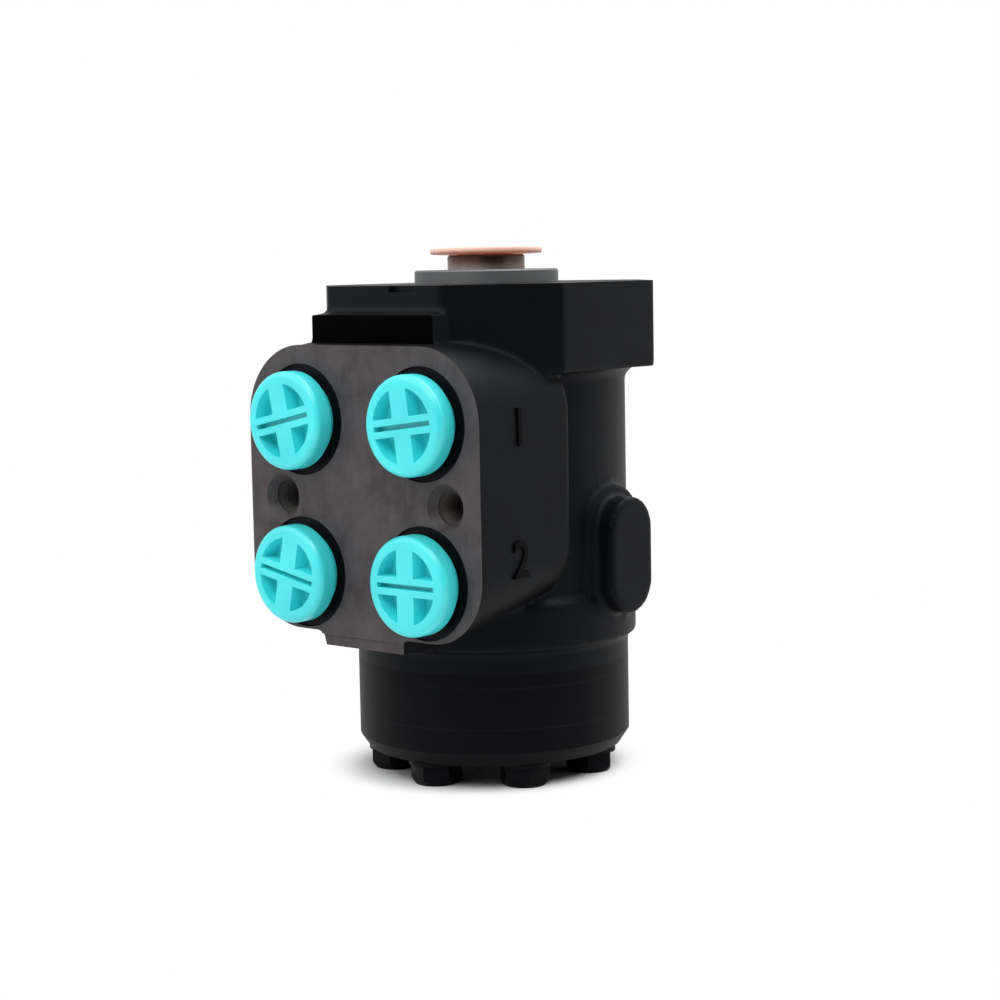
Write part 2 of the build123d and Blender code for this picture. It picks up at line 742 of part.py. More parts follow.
for name, low in (
    ("housing_o_ring", housing_bottom),
    ("plate_o_ring", plate_bottom - o_ring_height),
    ("cover_o_ring", ring_bottom - o_ring_height),
):
    with BuildPart() as o_ring:
        with BuildSketch(Plane.XZ):
            ring_profile(
                o_ring_pitch_radius - o_ring_width / 2, o_ring_pitch_radius + o_ring_width / 2, low, low + o_ring_height
            )
            chamfer(vertices(), o_ring_height / 4)
        revolve(axis=Axis.Z)
    finish(o_ring, name)

# ================================================================== fasteners
# A cover bolt at the origin: its head's seat is at height 0 and its shank points up.
with BuildPart() as plain_bolt:
    with BuildSketch(Plane.XY.offset(-bolt_head_height)):
        RegularPolygon(bolt_head_flats / 2, 6, major_radius=False)
    extrude(amount=bolt_head_height)
    # the corners of the head are turned off under an angle
    with BuildSketch(Plane.XZ):
        with BuildLine():
            Polyline(
                (0, 0),
                (bolt_head_flats, 0),
                (bolt_head_flats, bolt_head_edge * 3 - bolt_head_height),
                (bolt_head_flats / 2 - bolt_head_edge / 2, -bolt_head_height),
                (0, -bolt_head_height),
                close=True,
            )
        make_face()
    revolve(axis=Axis.Z, mode=Mode.INTERSECT)
    with BuildSketch(Plane.XY):
        Circle(bolt_radius)
    extrude(amount=bolt_tip - head_seat)
    chamfer(edges().group_by(Axis.Z)[-1], 0.8)

bolt_angles = [first_lobe + 360 / lobe_count * number for number in range(lobe_count)]
with BuildPart() as cover_bolts:
    for angle in bolt_angles:
        if angle != special_angle:
            x, y = lobe_pitch_radius * cos(radians(angle)), lobe_pitch_radius * sin(radians(angle))
            with Locations(Location((x, y, head_seat), (0, 0, angle * 2))):
                add(plain_bolt.part)
finish(cover_bolts, "cover_bolts")

with BuildPart() as special_bolt:
    with Locations(Location((special_x, special_y, head_seat), (0, 0, special_angle))):
        add(plain_bolt.part)
    # the pin that keeps the check ball in its chamber
    with BuildSketch(Plane.XY.offset(bolt_tip - merge_depth)):
        with Locations(special_place):
            Circle(ball_pin_radius)
    extrude(amount=ball_pin_top - bolt_tip + merge_depth)
finish(special_bolt, "special_bolt")

with BuildPart() as bolt_washers:
    with BuildSketch(Plane.XY.offset(head_seat)):
        with PolarLocations(lobe_pitch_radius, lobe_count, start_angle=first_lobe):
            Circle(washer_radius)
            Circle(bolt_hole_radius, mode=Mode.SUBTRACT)
    extrude(amount=washer_thickness)
finish(bolt_washers, "bolt_washers")

# ================================================================== check valve
with BuildPart() as ball_bushing:
    with BuildSketch(Plane.XY.offset(housing_bottom + bushing_recess)):
        with Locations(special_place):
            Circle(bushing_radius)
            Circle(bolt_radius + seat_gap, mode=Mode.SUBTRACT)
    extrude(amount=bushing_top - housing_bottom - bushing_recess)
finish(ball_bushing, "ball_bushing")

with BuildPart() as check_ball:
    with Locations((*special_place, ball_z)):
        Sphere(ball_radius)
finish(check_ball, "check_ball")

# ================================================================== transport plugs
# A plug that points along +Z: its stem is at the bottom and its seat on the spot face is at height 0.
plug_height = plug_stand + spotface_depth
with BuildPart() as plain_plug:
    with BuildSketch(Plane.XZ):
        ring_profile(0, plug_head_radius, plug_height - plug_head_depth, plug_height)
        ring_profile(0, plug_waist_radius, 0, plug_height)
        ring_profile(0, plug_stem_radius, -plug_stem_length, 0)
    revolve(axis=Axis.Z)
    rim = edges().filter_by(GeomType.CIRCLE).filter_by(lambda edge: abs(edge.radius - plug_head_radius) < 0.01)
    chamfer(rim, plug_edge)
    # four pockets, which leave a wide rib and a bar with a driver slot
    with BuildSketch(Plane.XY.offset(plug_height)):
        Circle(plug_pocket_radius)
        Rectangle(plug_rib_width, 2 * plug_head_radius, mode=Mode.SUBTRACT)
        Rectangle(2 * plug_head_radius, plug_bar_width, mode=Mode.SUBTRACT)
    extrude(amount=-plug_pocket_depth, mode=Mode.SUBTRACT)
    with BuildSketch(Plane.XY.offset(plug_height)):
        Rectangle(2 * plug_pocket_radius, plug_slot_width)
    extrude(amount=-plug_slot_depth, mode=Mode.SUBTRACT)

plug_places = (
    ("plug_upper_left", -1, 1),
    ("plug_upper_right", 1, 1),
    ("plug_lower_left", -1, -1),
    ("plug_lower_right", 1, -1),
)
for (name, column, row), turn in zip(plug_places, plug_turns):
    seat = Plane(
        origin=(
            column * port_spacing_x / 2,
            spotface_depth - pad_reach - side_gap,
            port_middle_z + row * port_spacing_z / 2,
        ),
        x_dir=(cos(radians(turn)), 0, sin(radians(turn))),
        z_dir=(0, -1, 0),
    )
    with BuildPart() as plug:
        with Locations(seat):
            add(plain_plug.part)
    finish(plug, name)

# The cap lies a little askew in the spline socket.
with BuildPart() as upright_cap:
    with BuildSketch(Plane.XZ):
        ring_profile(0, cap_radius, 0, cap_thickness)
        ring_profile(0, cap_stem_radius, -cap_stem_length, 0)
        ring_profile(0, cap_stem_radius - cap_stem_wall, -cap_stem_length, 0, Mode.SUBTRACT)
    revolve(axis=Axis.Z)
    rim = edges().filter_by(GeomType.CIRCLE).filter_by(lambda edge: abs(edge.radius - cap_radius) < 0.01)
    chamfer(rim, cap_edge)

with BuildPart() as spline_cap:
    with Locations(Location((0, 0, cap_height), (-cap_tilt * cos(radians(45)), -cap_tilt * sin(radians(45)), 0))):
        add(upright_cap.part)
finish(spline_cap, "spline_cap")
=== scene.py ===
"""The looks of an orbital steering unit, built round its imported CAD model.

Sizes are in millimetres in the part's own frame. The origin is the centre of the mounting flange's top face,
+Z points along the spool to the steering column, and -Y points out of the port face.
"""

import json
import math

import bmesh
import bpy
from mathutils import Matrix, Vector


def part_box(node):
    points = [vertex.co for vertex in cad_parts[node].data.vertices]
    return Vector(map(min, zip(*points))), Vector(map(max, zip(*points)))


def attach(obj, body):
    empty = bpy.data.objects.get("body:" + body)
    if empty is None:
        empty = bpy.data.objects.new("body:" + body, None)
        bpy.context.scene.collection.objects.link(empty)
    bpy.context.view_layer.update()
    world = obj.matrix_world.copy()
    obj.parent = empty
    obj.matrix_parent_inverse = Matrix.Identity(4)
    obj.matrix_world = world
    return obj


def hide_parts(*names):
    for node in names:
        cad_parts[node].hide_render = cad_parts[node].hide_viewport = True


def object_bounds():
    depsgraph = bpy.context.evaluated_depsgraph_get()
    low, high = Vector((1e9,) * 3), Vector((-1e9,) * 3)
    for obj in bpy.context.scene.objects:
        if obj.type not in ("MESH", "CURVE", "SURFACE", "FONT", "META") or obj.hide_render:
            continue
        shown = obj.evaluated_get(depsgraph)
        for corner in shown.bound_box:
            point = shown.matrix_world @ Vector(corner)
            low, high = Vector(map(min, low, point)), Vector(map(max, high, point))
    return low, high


MM = 0.001
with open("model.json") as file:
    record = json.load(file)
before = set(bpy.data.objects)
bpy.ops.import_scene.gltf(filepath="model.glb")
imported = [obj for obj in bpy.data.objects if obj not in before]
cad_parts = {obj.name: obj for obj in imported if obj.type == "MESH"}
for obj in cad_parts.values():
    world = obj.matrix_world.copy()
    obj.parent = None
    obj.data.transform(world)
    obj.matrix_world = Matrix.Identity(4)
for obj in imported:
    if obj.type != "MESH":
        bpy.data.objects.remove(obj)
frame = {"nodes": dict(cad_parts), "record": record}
cad_low, cad_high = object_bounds()
mounts = {mount["name"]: mount for mount in frame["record"]["mounts"]}


# ------------------------------------------------------------------ sizes read from the frame
def node_box(name):
    """Lowest and highest corner of a CAD node, in millimetres."""
    low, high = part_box(name)
    return low / MM, high / MM


HOUSING_LOW, HOUSING_HIGH = node_box("housing")
PLATE_LOW, PLATE_HIGH = node_box("distributor_plate")
RING_LOW, RING_HIGH = node_box("stator_ring")
COVER_LOW = node_box("end_cover")[0]
BOLTS_HIGH = node_box("cover_bolts")[1]
SPECIAL_HIGH = node_box("special_bolt")[1]

PAD_REACH = -HOUSING_LOW.y
PILOT_RADIUS = mounts["pilot"]["dims"]["r_mm"]
PILOT_HEIGHT = HOUSING_HIGH.z
FLANGE_BOLT_CIRCLE = mounts["flange_bolts"]["dims"]["pcd_mm"]
TAP_RADIUS = mounts["flange_bolts"]["dims"]["hole_r_mm"]
BLOCK_BOLT_SPACING = mounts["valve_block_bolts"]["dims"]["spacing_x_mm"]
BLOCK_BOLT_Z = mounts["valve_block_bolts"]["pos_m"][2] / MM
FLANGE_HALF = HOUSING_HIGH.y
BOSS_FACE = HOUSING_HIGH.x
DRUM_RADIUS = RING_HIGH.x
CORNERS = (("upper", "left"), ("upper", "right"), ("lower", "left"), ("lower", "right"))
PORTS = {
    f"{row}_{side}": Vector(mounts[f"port_{row}_{side}"]["pos_m"]) / MM for row, side in CORNERS
}

# ------------------------------------------------------------------ sizes of the casting
FLANGE_THICKNESS = 27.0
FLANGE_CORNER = 26.45  # how much of each side the corner face takes
NECK_RADIUS = 44.0
NECK_BLEND = 3.0
COLLAR_RADIUS = 46.6
COLLAR_TOP, COLLAR_BOTTOM = -98.4, -112.2
COLLAR_BEVEL = 1.6  # height of the slope from the collar down to the drum
PAD_BACK = 19.5
PAD_HALF = 47.7
PAD_TOP, PAD_BOTTOM = -17.7, -107.0
PAD_TOP_ROUND, PAD_BOTTOM_ROUND = 23.0, 20.0
PAD_BACK_TOP, PAD_BACK_BOTTOM = -17.0, -96.5
PAD_FLARE = 1.015  # the pad is this much wider at its back
BRIDGE_HALF = 25.1
BRIDGE_REACH = 54.5
BRIDGE_TOP, BRIDGE_SLOPE_TOP, BRIDGE_BOTTOM = -7.9, -4.8, -22.0
HEEL_LEFT, HEEL_RIGHT, HEEL_BOTTOM = -16.5, 15.5, -110.8
HEEL_FRONT, HEEL_BACK = PAD_REACH - 0.6, 40.0
HEEL_SLANT = 5.0
BOSS_Y, BOSS_Z = 6.2, -85.3
BOSS_WIDTH, BOSS_HEIGHT = 21.0, 36.6
BOSS_FOOT = 3.6
BOSS_FOOT_FACE = 45.6
NOTCH_LEFT, NOTCH_WIDTH, NOTCH_DEPTH = 3.0, 10.6, 2.0
CAST_VOXEL = 1.0
CAST_SMOOTHING = 2
MILL_STOCK = 1.5  # iron left on the faces that are milled afterwards
MILL_REACH = 80.0  # the mills run this far past the axis
MILL_TOP, MILL_FOOT = 20.0, -160.0
FACE_MILL_FRONT = -100.0
MILL_GAP = 0.4  # the mills of bridge and heel stay this far off the pad
HEEL_MILL_GAP = 0.2  # and the mill of the heel's foot this far off the collar
FACE_TOLERANCE = 0.1
DRILL_RUN_OUT = 2.0  # how far a drill stands out of the face that it enters
SPOTFACE_RADIUS = 17.3
SPOTFACE_DEPTH = 1.0
PORT_DEPTH = 18.6
PORT_THREAD_RADIUS = 10.5  # G1/2, root of the thread
PORT_THREAD_MINOR = 9.5
PORT_THREAD_PITCH = 1.814
HOLE_THREAD_RADIUS = 5.0  # M10
HOLE_THREAD_PITCH = 1.5
BLOCK_HOLE_DEPTH = 20.0
BLOCK_HOLE_MOUTH = 7.2
BLOCK_MOUTH_DEPTH = 2.6
FLANGE_HOLE_DEPTH = 18.0
FLANGE_HOLE_MOUTH = 5.4
FLANGE_MOUTH_DEPTH = 0.5
LINER_DEPTH = 16.0
FLANGE_LINER_RISE = 1.6  # the flange holes have a shallower mouth, so their liners stand higher
JOINT_CHAMFER = 0.3
JOINT_HOLLOW = 0.06
FIGURE_SIZE = 16.0
FIGURE_RAISE = 0.5
FIGURE_EDGE = 0.15
FIGURE_STAND = 0.3  # from the pad's side to the middle of a figure's thickness
FIGURE_Y = -43.0
FIGURE_HEIGHTS = {"1": -42.5, "2": -82.0}
SEAL_RECESS = 16.0
SEAL_FLOOR = -0.1
BORE_RADIUS = 19.1  # clear of the sleeve
BORE_TOP = -11.6
NECK_BORE_RADIUS = 12.65  # clear of the spool's neck
SHAFT_SEAL_RADIUS = 15.62
SHAFT_SEAL_TOP, SHAFT_SEAL_BOTTOM = -3.2, -6.8
CHANNEL_RADIUS = 3.1
CHANNEL_END = 12.0  # from the axis along X and along Y, which is inside the bore
UPPER_CHANNEL_Z, LOWER_CHANNEL_Z = -58.0, -97.0  # heights of the grooves that the channels reach
COVER_HOLE_RADIUS = 4.6
COVER_HOLE_DEPTH = 18.0
BALL_HOLE_RADIUS = 5.1
BALL_HOLE_TOP = -80.0
BALL_PIN_RADIUS = 2.0
BOLT_RING = 32.5
BOLT_TURNS = [-84.8 + 360 / 7 * number for number in range(7)]
SPECIAL_BOLT = 4

# ------------------------------------------------------------------ heights on the spool's neck
CAP_SHADE_LOW, CAP_SHADE_HIGH = 3.2, 8.4  # painted shade under the cap, tinted by a painted reflection of its salmon colour: bare steel turns to dark brown between these
CAP_SHADE_DULL_LOW, CAP_SHADE_DULL_HIGH = 1.0, 3.2  # the metal grows duller between these, as part of the painted shade

# ------------------------------------------------------------------ levels of the studio
ROOM_LIGHT = 0.45
OVERHEAD_POWER = 25.0
FRONT_POWER = 7.5
COLUMN_POWER = 9.0
FLOOR_SIZE = 30  # metres
SHADOW_REACH = (36.0, 54.0)  # painted light: between these distances from the shadow's middle a white glow rises on the floor, cutting the shadow off
# the ring of painted light on the floor is centred here, off the part's axis
SHADOW_MIDDLE = (-4.9, 1.0, 0.0)


# ------------------------------------------------------------------ modelling helpers
def deselect():
    """Leaves edit mode and selects nothing."""
    if bpy.context.object and bpy.context.object.mode != "OBJECT":
        bpy.ops.object.mode_set(mode="OBJECT")
    bpy.ops.object.select_all(action="DESELECT")


def take(piece):
    """Makes piece the only selected object, and the active one."""
    deselect()
    piece.select_set(True)
    bpy.context.view_layer.objects.active = piece


def settle(name):
    """Names the new primitive, moves its place into its mesh and returns it."""
    piece = bpy.context.object
    piece.name = name
    piece.data.name = name
    take(piece)
    bpy.ops.object.transform_apply(location=True, rotation=True, scale=True)
    return piece


def apply_modifier(piece, kind, **settings):
    """Adds a modifier with its settings and applies it."""
    take(piece)
    modifier = piece.modifiers.new(kind.lower(), kind)
    for key, value in settings.items():
        setattr(modifier, key, value)
    bpy.ops.object.modifier_apply(modifier=modifier.name)


def block(name, low, high):
    """A cube between two corners."""
    deselect()
    centre = [(a + b) / 2 * MM for a, b in zip(low, high)]
    bpy.ops.mesh.primitive_cube_add(size=1, location=centre)
    bpy.context.object.scale = [(b - a) * MM for a, b in zip(low, high)]
    return settle(name)


def rounded(piece, direction, radius, chosen=lambda middle: True, segments=14):
    """Rounds the edges that run along a direction and whose middle is chosen."""
    take(piece)
    bpy.ops.object.mode_set(mode="EDIT")
    bpy.ops.mesh.select_mode(type="EDGE")
    bpy.ops.mesh.select_all(action="DESELECT")
    mesh = bmesh.from_edit_mesh(piece.data)
    for edge in mesh.edges:
        run = (edge.verts[1].co - edge.verts[0].co).normalized()
        middle = (edge.verts[0].co + edge.verts[1].co) / 2 / MM
        edge.select_set(abs(run.dot(Vector(direction))) > 0.95 and chosen(middle))
    bmesh.update_edit_mesh(piece.data)
    bpy.ops.mesh.bevel(offset=radius * MM, segments=segments, profile=0.5, clamp_overlap=False)
    bpy.ops.mesh.remove_doubles(threshold=0.01 * MM)
    bpy.ops.object.mode_set(mode="OBJECT")
    return piece


def move_points(piece, chosen, shift=(0, 0, 0), scale=(1, 1, 1), about=(0, 0, 0)):
    """Moves or scales the points that are chosen by their place."""
    take(piece)
    bpy.ops.object.mode_set(mode="EDIT")
    bpy.ops.mesh.select_mode(type="VERT")
    bpy.ops.mesh.select_all(action="DESELECT")
    mesh = bmesh.from_edit_mesh(piece.data)
    for vert in mesh.verts:
        vert.select_set(chosen(vert.co / MM))
    bmesh.update_edit_mesh(piece.data)
    bpy.ops.transform.translate(value=[value * MM for value in shift])
    bpy.ops.transform.resize(value=scale, center_override=[value * MM for value in about])
    bpy.ops.object.mode_set(mode="OBJECT")
    return piece


def turned(name, stations, segments=96, ring=False):
    """A piece turned on a lathe round Z, extruded from station to station, each a (radius, height)."""
    deselect()
    radius, height = stations[0]
    fill = "NOTHING" if ring else "NGON"
    bpy.ops.mesh.primitive_circle_add(
        vertices=segments, radius=radius * MM, fill_type=fill, location=(0, 0, height * MM)
    )
    piece = settle(name)
    bpy.ops.object.mode_set(mode="EDIT")
    bpy.ops.mesh.select_all(action="SELECT")
    for next_radius, next_height in stations[1:]:
        rise = {"value": (0, 0, (next_height - height) * MM)}
        if ring:
            bpy.ops.mesh.extrude_edges_move(TRANSFORM_OT_translate=rise)
        else:
            bpy.ops.mesh.extrude_region_move(TRANSFORM_OT_translate=rise)
        grow = next_radius / radius
        bpy.ops.transform.resize(value=(grow, grow, 1), center_override=(0, 0, next_height * MM))
        radius, height = next_radius, next_height
    bpy.ops.mesh.select_all(action="SELECT")
    bpy.ops.mesh.remove_doubles(threshold=0.001 * MM)
    bpy.ops.mesh.normals_make_consistent(inside=False)
    bpy.ops.object.mode_set(mode="OBJECT")
    return piece


def placed(piece, matrix):
    """Moves a finished mesh to its place."""
    piece.data.transform(matrix)
    piece.data.update()
    return piece


def copied(piece, name, matrix):
    """A copy of a piece, with its own mesh, at another place."""
    twin = piece.copy()
    twin.data = piece.data.copy()
    twin.name = name
    twin.data.name = name
    bpy.context.scene.collection.objects.link(twin)
    return placed(twin, matrix)


def combined(piece, tools, operation="DIFFERENCE"):
    """Cuts the tools from a piece, or joins them to it, and removes them."""
    for tool in tools:
        apply_modifier(piece, "BOOLEAN", operation=operation, object=tool, solver="EXACT")
        bpy.data.objects.remove(tool)
    return piece


def without_flaps(piece):
    """Deletes faces of no area that lie back to back on the same points, which a union can leave."""
    take(piece)
    bpy.ops.object.mode_set(mode="EDIT")
    bpy.ops.mesh.select_mode(type="FACE")
    bpy.ops.mesh.select_all(action="DESELECT")
    mesh = bmesh.from_edit_mesh(piece.data)
    stacks = {}
    for face in mesh.faces:
        stacks.setdefault(frozenset(face.verts), []).append(face)
    for stack in stacks.values():
        if len(stack) > 1:
            for face in stack:
                face.select_set(True)
    bmesh.update_edit_mesh(piece.data)
    bpy.ops.mesh.delete(type="FACE")
    bpy.ops.object.mode_set(mode="OBJECT")
    return piece


def softened(piece, width, segments, angle):
    """Breaks the sharp edges of a piece and shades it smooth between them."""
    apply_modifier(
        piece,
        "BEVEL",
        width=width * MM,
        segments=segments,
        limit_method="ANGLE",
        angle_limit=math.radians(angle),
        use_clamp_overlap=True,
        harden_normals=False,
    )
    return shaded(piece)


def shaded(piece, angle=32):
    """Smooth shading that breaks at edges sharper than the angle."""
    take(piece)
    bpy.ops.object.shade_smooth_by_angle(angle=math.radians(angle))
    return piece


def at(x, y, z):
    """A shift in millimetres."""
    return Matrix.Translation((x * MM, y * MM, z * MM))


def out_of_pad(place, turn=0.0):
    """Turns a piece that points along +Z so that it points out of the port face, at a place on that face."""
    outwards = Matrix.Rotation(math.radians(90), 4, "X")
    return at(*place) @ outwards @ Matrix.Rotation(math.radians(turn), 4, "Z")


def at_port(place, depth=0.0, turn=0.0):
    """Points a piece out of the port face at one of the ports, and sinks it by depth."""
    return out_of_pad((place.x, -PAD_REACH + depth, place.z), turn)


def at_flange_hole(quarter, height=0.0):
    """The place of one of the flange's four tapped holes."""
    turn = Matrix.Rotation(math.radians(45 + 90 * quarter), 4, "Z")
    return turn @ at(FLANGE_BOLT_CIRCLE / 2, 0, height)


def at_block_hole(side):
    """The place of one of the two tapped holes between the ports: side is -1 or 1."""
    return out_of_pad((side * BLOCK_BOLT_SPACING / 2, -PAD_REACH, BLOCK_BOLT_Z))


# ------------------------------------------------------------------ materials
def linear(hex_colour):
    """An sRGB hex colour as the linear RGBA that sockets take."""
    channels = [int(hex_colour[place : place + 2], 16) / 255 for place in (1, 3, 5)]
    return [c / 12.92 if c <= 0.04045 else ((c + 0.055) / 1.055) ** 2.4 for c in channels] + [1.0]


def new_material(name):
    """An empty node material: its node tree and its Principled shader."""
    material = bpy.data.materials.new(name)
    material.use_nodes = True
    tree = material.node_tree
    return material, tree, tree.nodes["Principled BSDF"]


def add_node(tree, kind, settings=None, inputs=None, links=None):
    """Adds one node with its settings, input values and links from other nodes' sockets."""
    node = tree.nodes.new(kind)
    for key, value in (settings or {}).items():
        setattr(node, key, value)
    for key, value in (inputs or {}).items():
        node.inputs[key].default_value = value
    for key, socket in (links or {}).items():
        tree.links.new(socket, node.inputs[key])
    return node


def ramp_between(tree, factor, stops):
    """A colour ramp over a factor, from (position, hex colour) stops."""
    ramp = add_node(tree, "ShaderNodeValToRGB", links={"Fac": factor})
    elements = ramp.color_ramp.elements
    while len(elements) < len(stops):
        elements.new(0.5)
    for element, (position, colour) in zip(elements, stops):
        element.position = position
        element.color = linear(colour)
    return ramp.outputs["Color"]


def noise_on(tree, size, detail=3.0, roughness=0.5, stretch=(1, 1, 1)):
    """Noise whose grain is size millimetres across, on the piece's own coordinates."""
    place = add_node(tree, "ShaderNodeTexCoord")
    mapping = add_node(
        tree, "ShaderNodeMapping", inputs={"Scale": stretch}, links={"Vector": place.outputs["Object"]}
    )
    return add_node(
        tree,
        "ShaderNodeTexNoise",
        inputs={"Scale": 1 / (size * MM), "Detail": detail, "Roughness": roughness},
        links={"Vector": mapping.outputs["Vector"]},
    ).outputs["Fac"]


def bumped(tree, shader, height, strength, distance):
    """Links a height to the shader's normal as a bump of that distance in millimetres."""
    bump = add_node(
        tree,
        "ShaderNodeBump",
        inputs={"Strength": strength, "Distance": distance * MM},
        links={"Height": height},
    )
    tree.links.new(bump.outputs["Normal"], shader.inputs["Normal"])


def spread(tree, factor, low, high):
    """A factor from 0..1 spread from low to high."""
    return add_node(
        tree, "ShaderNodeMapRange", inputs={"To Min": low, "To Max": high}, links={"Value": factor}
    ).outputs["Result"]


def satin_paint(name, colour, pale, grain, depth, roughness=(0.42, 0.54), level=0.115):
    """Black machine paint sprayed over metal: satin, with a fine orange peel and slightly paler patches."""
    material, tree, shader = new_material(name)
    patches = noise_on(tree, 14.0, detail=2.0)
    tree.links.new(ramp_between(tree, patches, ((0.35, colour), (0.75, pale))), shader.inputs["Base Color"])
    peel = noise_on(tree, grain, detail=4.0, roughness=0.6)
    tree.links.new(spread(tree, peel, *roughness), shader.inputs["Roughness"])
    shader.inputs["IOR"].default_value = 1.5
    shader.inputs["Specular IOR Level"].default_value = level
    shader.inputs["Specular Tint"].default_value = linear("#E6ECF8")
    bumped(tree, shader, peel, 0.6, depth)
    return material


# The casting is sprayed all over with satin black machine paint. The port face is milled before the thin coat
# goes on, so it looks browner and paler than the cast skin. The bridge's front face is painted near black and
# dull: painted shade.
def milled_face_paint():
    """Milled cast iron under a thin coat: brownish grey, with faint cutter marks and mottling."""
    material, tree, shader = new_material("milled_port_face")
    mottle = noise_on(tree, 7.0, detail=4.0, roughness=0.6)
    cutter = noise_on(tree, 1.2, detail=2.0, stretch=(1, 1, 0.12))
    tone = add_node(
        tree, "ShaderNodeMath", {"operation": "MULTIPLY_ADD"}, inputs={1: 0.25}, links={0: cutter, 2: mottle}
    ).outputs[0]
    colours = ((0.42, "#372F31"), (0.58, "#423C3E"), (0.8, "#4B4547"))
    tree.links.new(ramp_between(tree, tone, colours), shader.inputs["Base Color"])
    tree.links.new(spread(tree, mottle, 0.38, 0.52), shader.inputs["Roughness"])
    shader.inputs["Specular IOR Level"].default_value = 0.3
    bumped(tree, shader, cutter, 0.4, 0.02)
    return material


def moulded_plastic(name, colour, deep, roughness, level, depth=0.9, weight=0.15):
    """Moulded plastic: smooth, with patches a little deeper in colour. Light scatters to the depth given."""
    material, tree, shader = new_material(name)
    flow = noise_on(tree, 22.0, detail=1.5)
    tree.links.new(ramp_between(tree, flow, ((0.3, deep), (0.7, colour))), shader.inputs["Base Color"])
    skin = noise_on(tree, 2.0, detail=2.0)
    tree.links.new(spread(tree, skin, roughness - 0.02, roughness + 0.04), shader.inputs["Roughness"])
    shader.inputs["IOR"].default_value = 1.52
    shader.inputs["Specular IOR Level"].default_value = level
    shader.inputs["Subsurface Weight"].default_value = weight
    shader.inputs["Subsurface Radius"].default_value = (depth * MM, depth * MM, depth * MM)
    shader.inputs["Subsurface Scale"].default_value = 1.0
    bumped(tree, shader, skin, 0.08, 0.02)
    return material


def worked_steel(name, colour, pale, roughness, lay, pitch=0.5, metallic=1.0):
    """Worked iron or steel: the tool's marks lie round the axis, along it, or every way."""
    material, tree, shader = new_material(name)
    shader.inputs["Metallic"].default_value = metallic
    stretch = {"round": (0.02, 0.02, 1), "along": (1, 1, 0.03), "every": (1, 1, 1)}[lay]
    marks = noise_on(tree, pitch, detail=3.0, stretch=stretch)
    tone = noise_on(tree, 9.0, detail=2.0)
    tree.links.new(ramp_between(tree, tone, ((0.3, colour), (0.75, pale))), shader.inputs["Base Color"])
    tree.links.new(spread(tree, marks, roughness - 0.08, roughness + 0.1), shader.inputs["Roughness"])
    bumped(tree, shader, marks, 0.35, 0.02)
    return material


def spool_steel_with_painted_shade():
    """Ground steel. Its splined end, which stands out of the housing under the cap, is painted brown and
    dull: painted shade, tinted by a painted reflection of the cap's salmon colour.
    """
    material, tree, shader = new_material("ground_spool_steel")
    place = add_node(tree, "ShaderNodeTexCoord")
    along = add_node(tree, "ShaderNodeSeparateXYZ", links={"Vector": place.outputs["Object"]})
    marks = noise_on(tree, 0.5, detail=3.0, stretch=(0.02, 0.02, 1))
    blotches = noise_on(tree, 3.0, detail=3.0)
    height = add_node(
        tree,
        "ShaderNodeMapRange",
        inputs={"From Min": CAP_SHADE_LOW * MM, "From Max": CAP_SHADE_HIGH * MM, "To Min": -0.12, "To Max": 0.88},
        links={"Value": along.outputs["Z"]},
    ).outputs["Result"]
    painted_cap_shade = add_node(
        tree,
        "ShaderNodeMath",
        {"operation": "MULTIPLY_ADD"},
        inputs={1: 0.25},
        links={0: blotches, 2: height},
    ).outputs[0]
    colours = ((0.1, "#B9AFAA"), (0.4, "#9C8980"), (0.7, "#6E4C3A"), (0.95, "#4E3020"))
    tree.links.new(ramp_between(tree, painted_cap_shade, colours), shader.inputs["Base Color"])
    # the metal is made duller towards the cap, as part of the painted shade
    painted_dulling = add_node(
        tree,
        "ShaderNodeMapRange",
        inputs={"From Min": CAP_SHADE_DULL_LOW * MM, "From Max": CAP_SHADE_DULL_HIGH * MM, "To Min": 1.0, "To Max": 0.3},
        links={"Value": along.outputs["Z"]},
    ).outputs["Result"]
    tree.links.new(painted_dulling, shader.inputs["Metallic"])
    tree.links.new(spread(tree, marks, 0.32, 0.48), shader.inputs["Roughness"])
    bumped(tree, shader, marks, 0.35, 0.02)
    return material


def moulded_rubber(name, colour):
    """Nitrile rubber: matt, with a fine mould texture."""
    material, tree, shader = new_material(name)
    skin = noise_on(tree, 0.6, detail=3.0)
    pale = noise_on(tree, 7.0, detail=2.0)
    tree.links.new(ramp_between(tree, pale, ((0.35, colour), (0.8, "#1C1C1C"))), shader.inputs["Base Color"])
    tree.links.new(spread(tree, skin, 0.6, 0.75), shader.inputs["Roughness"])
    shader.inputs["Specular IOR Level"].default_value = 0.3
    bumped(tree, shader, skin, 0.4, 0.03)
    return material


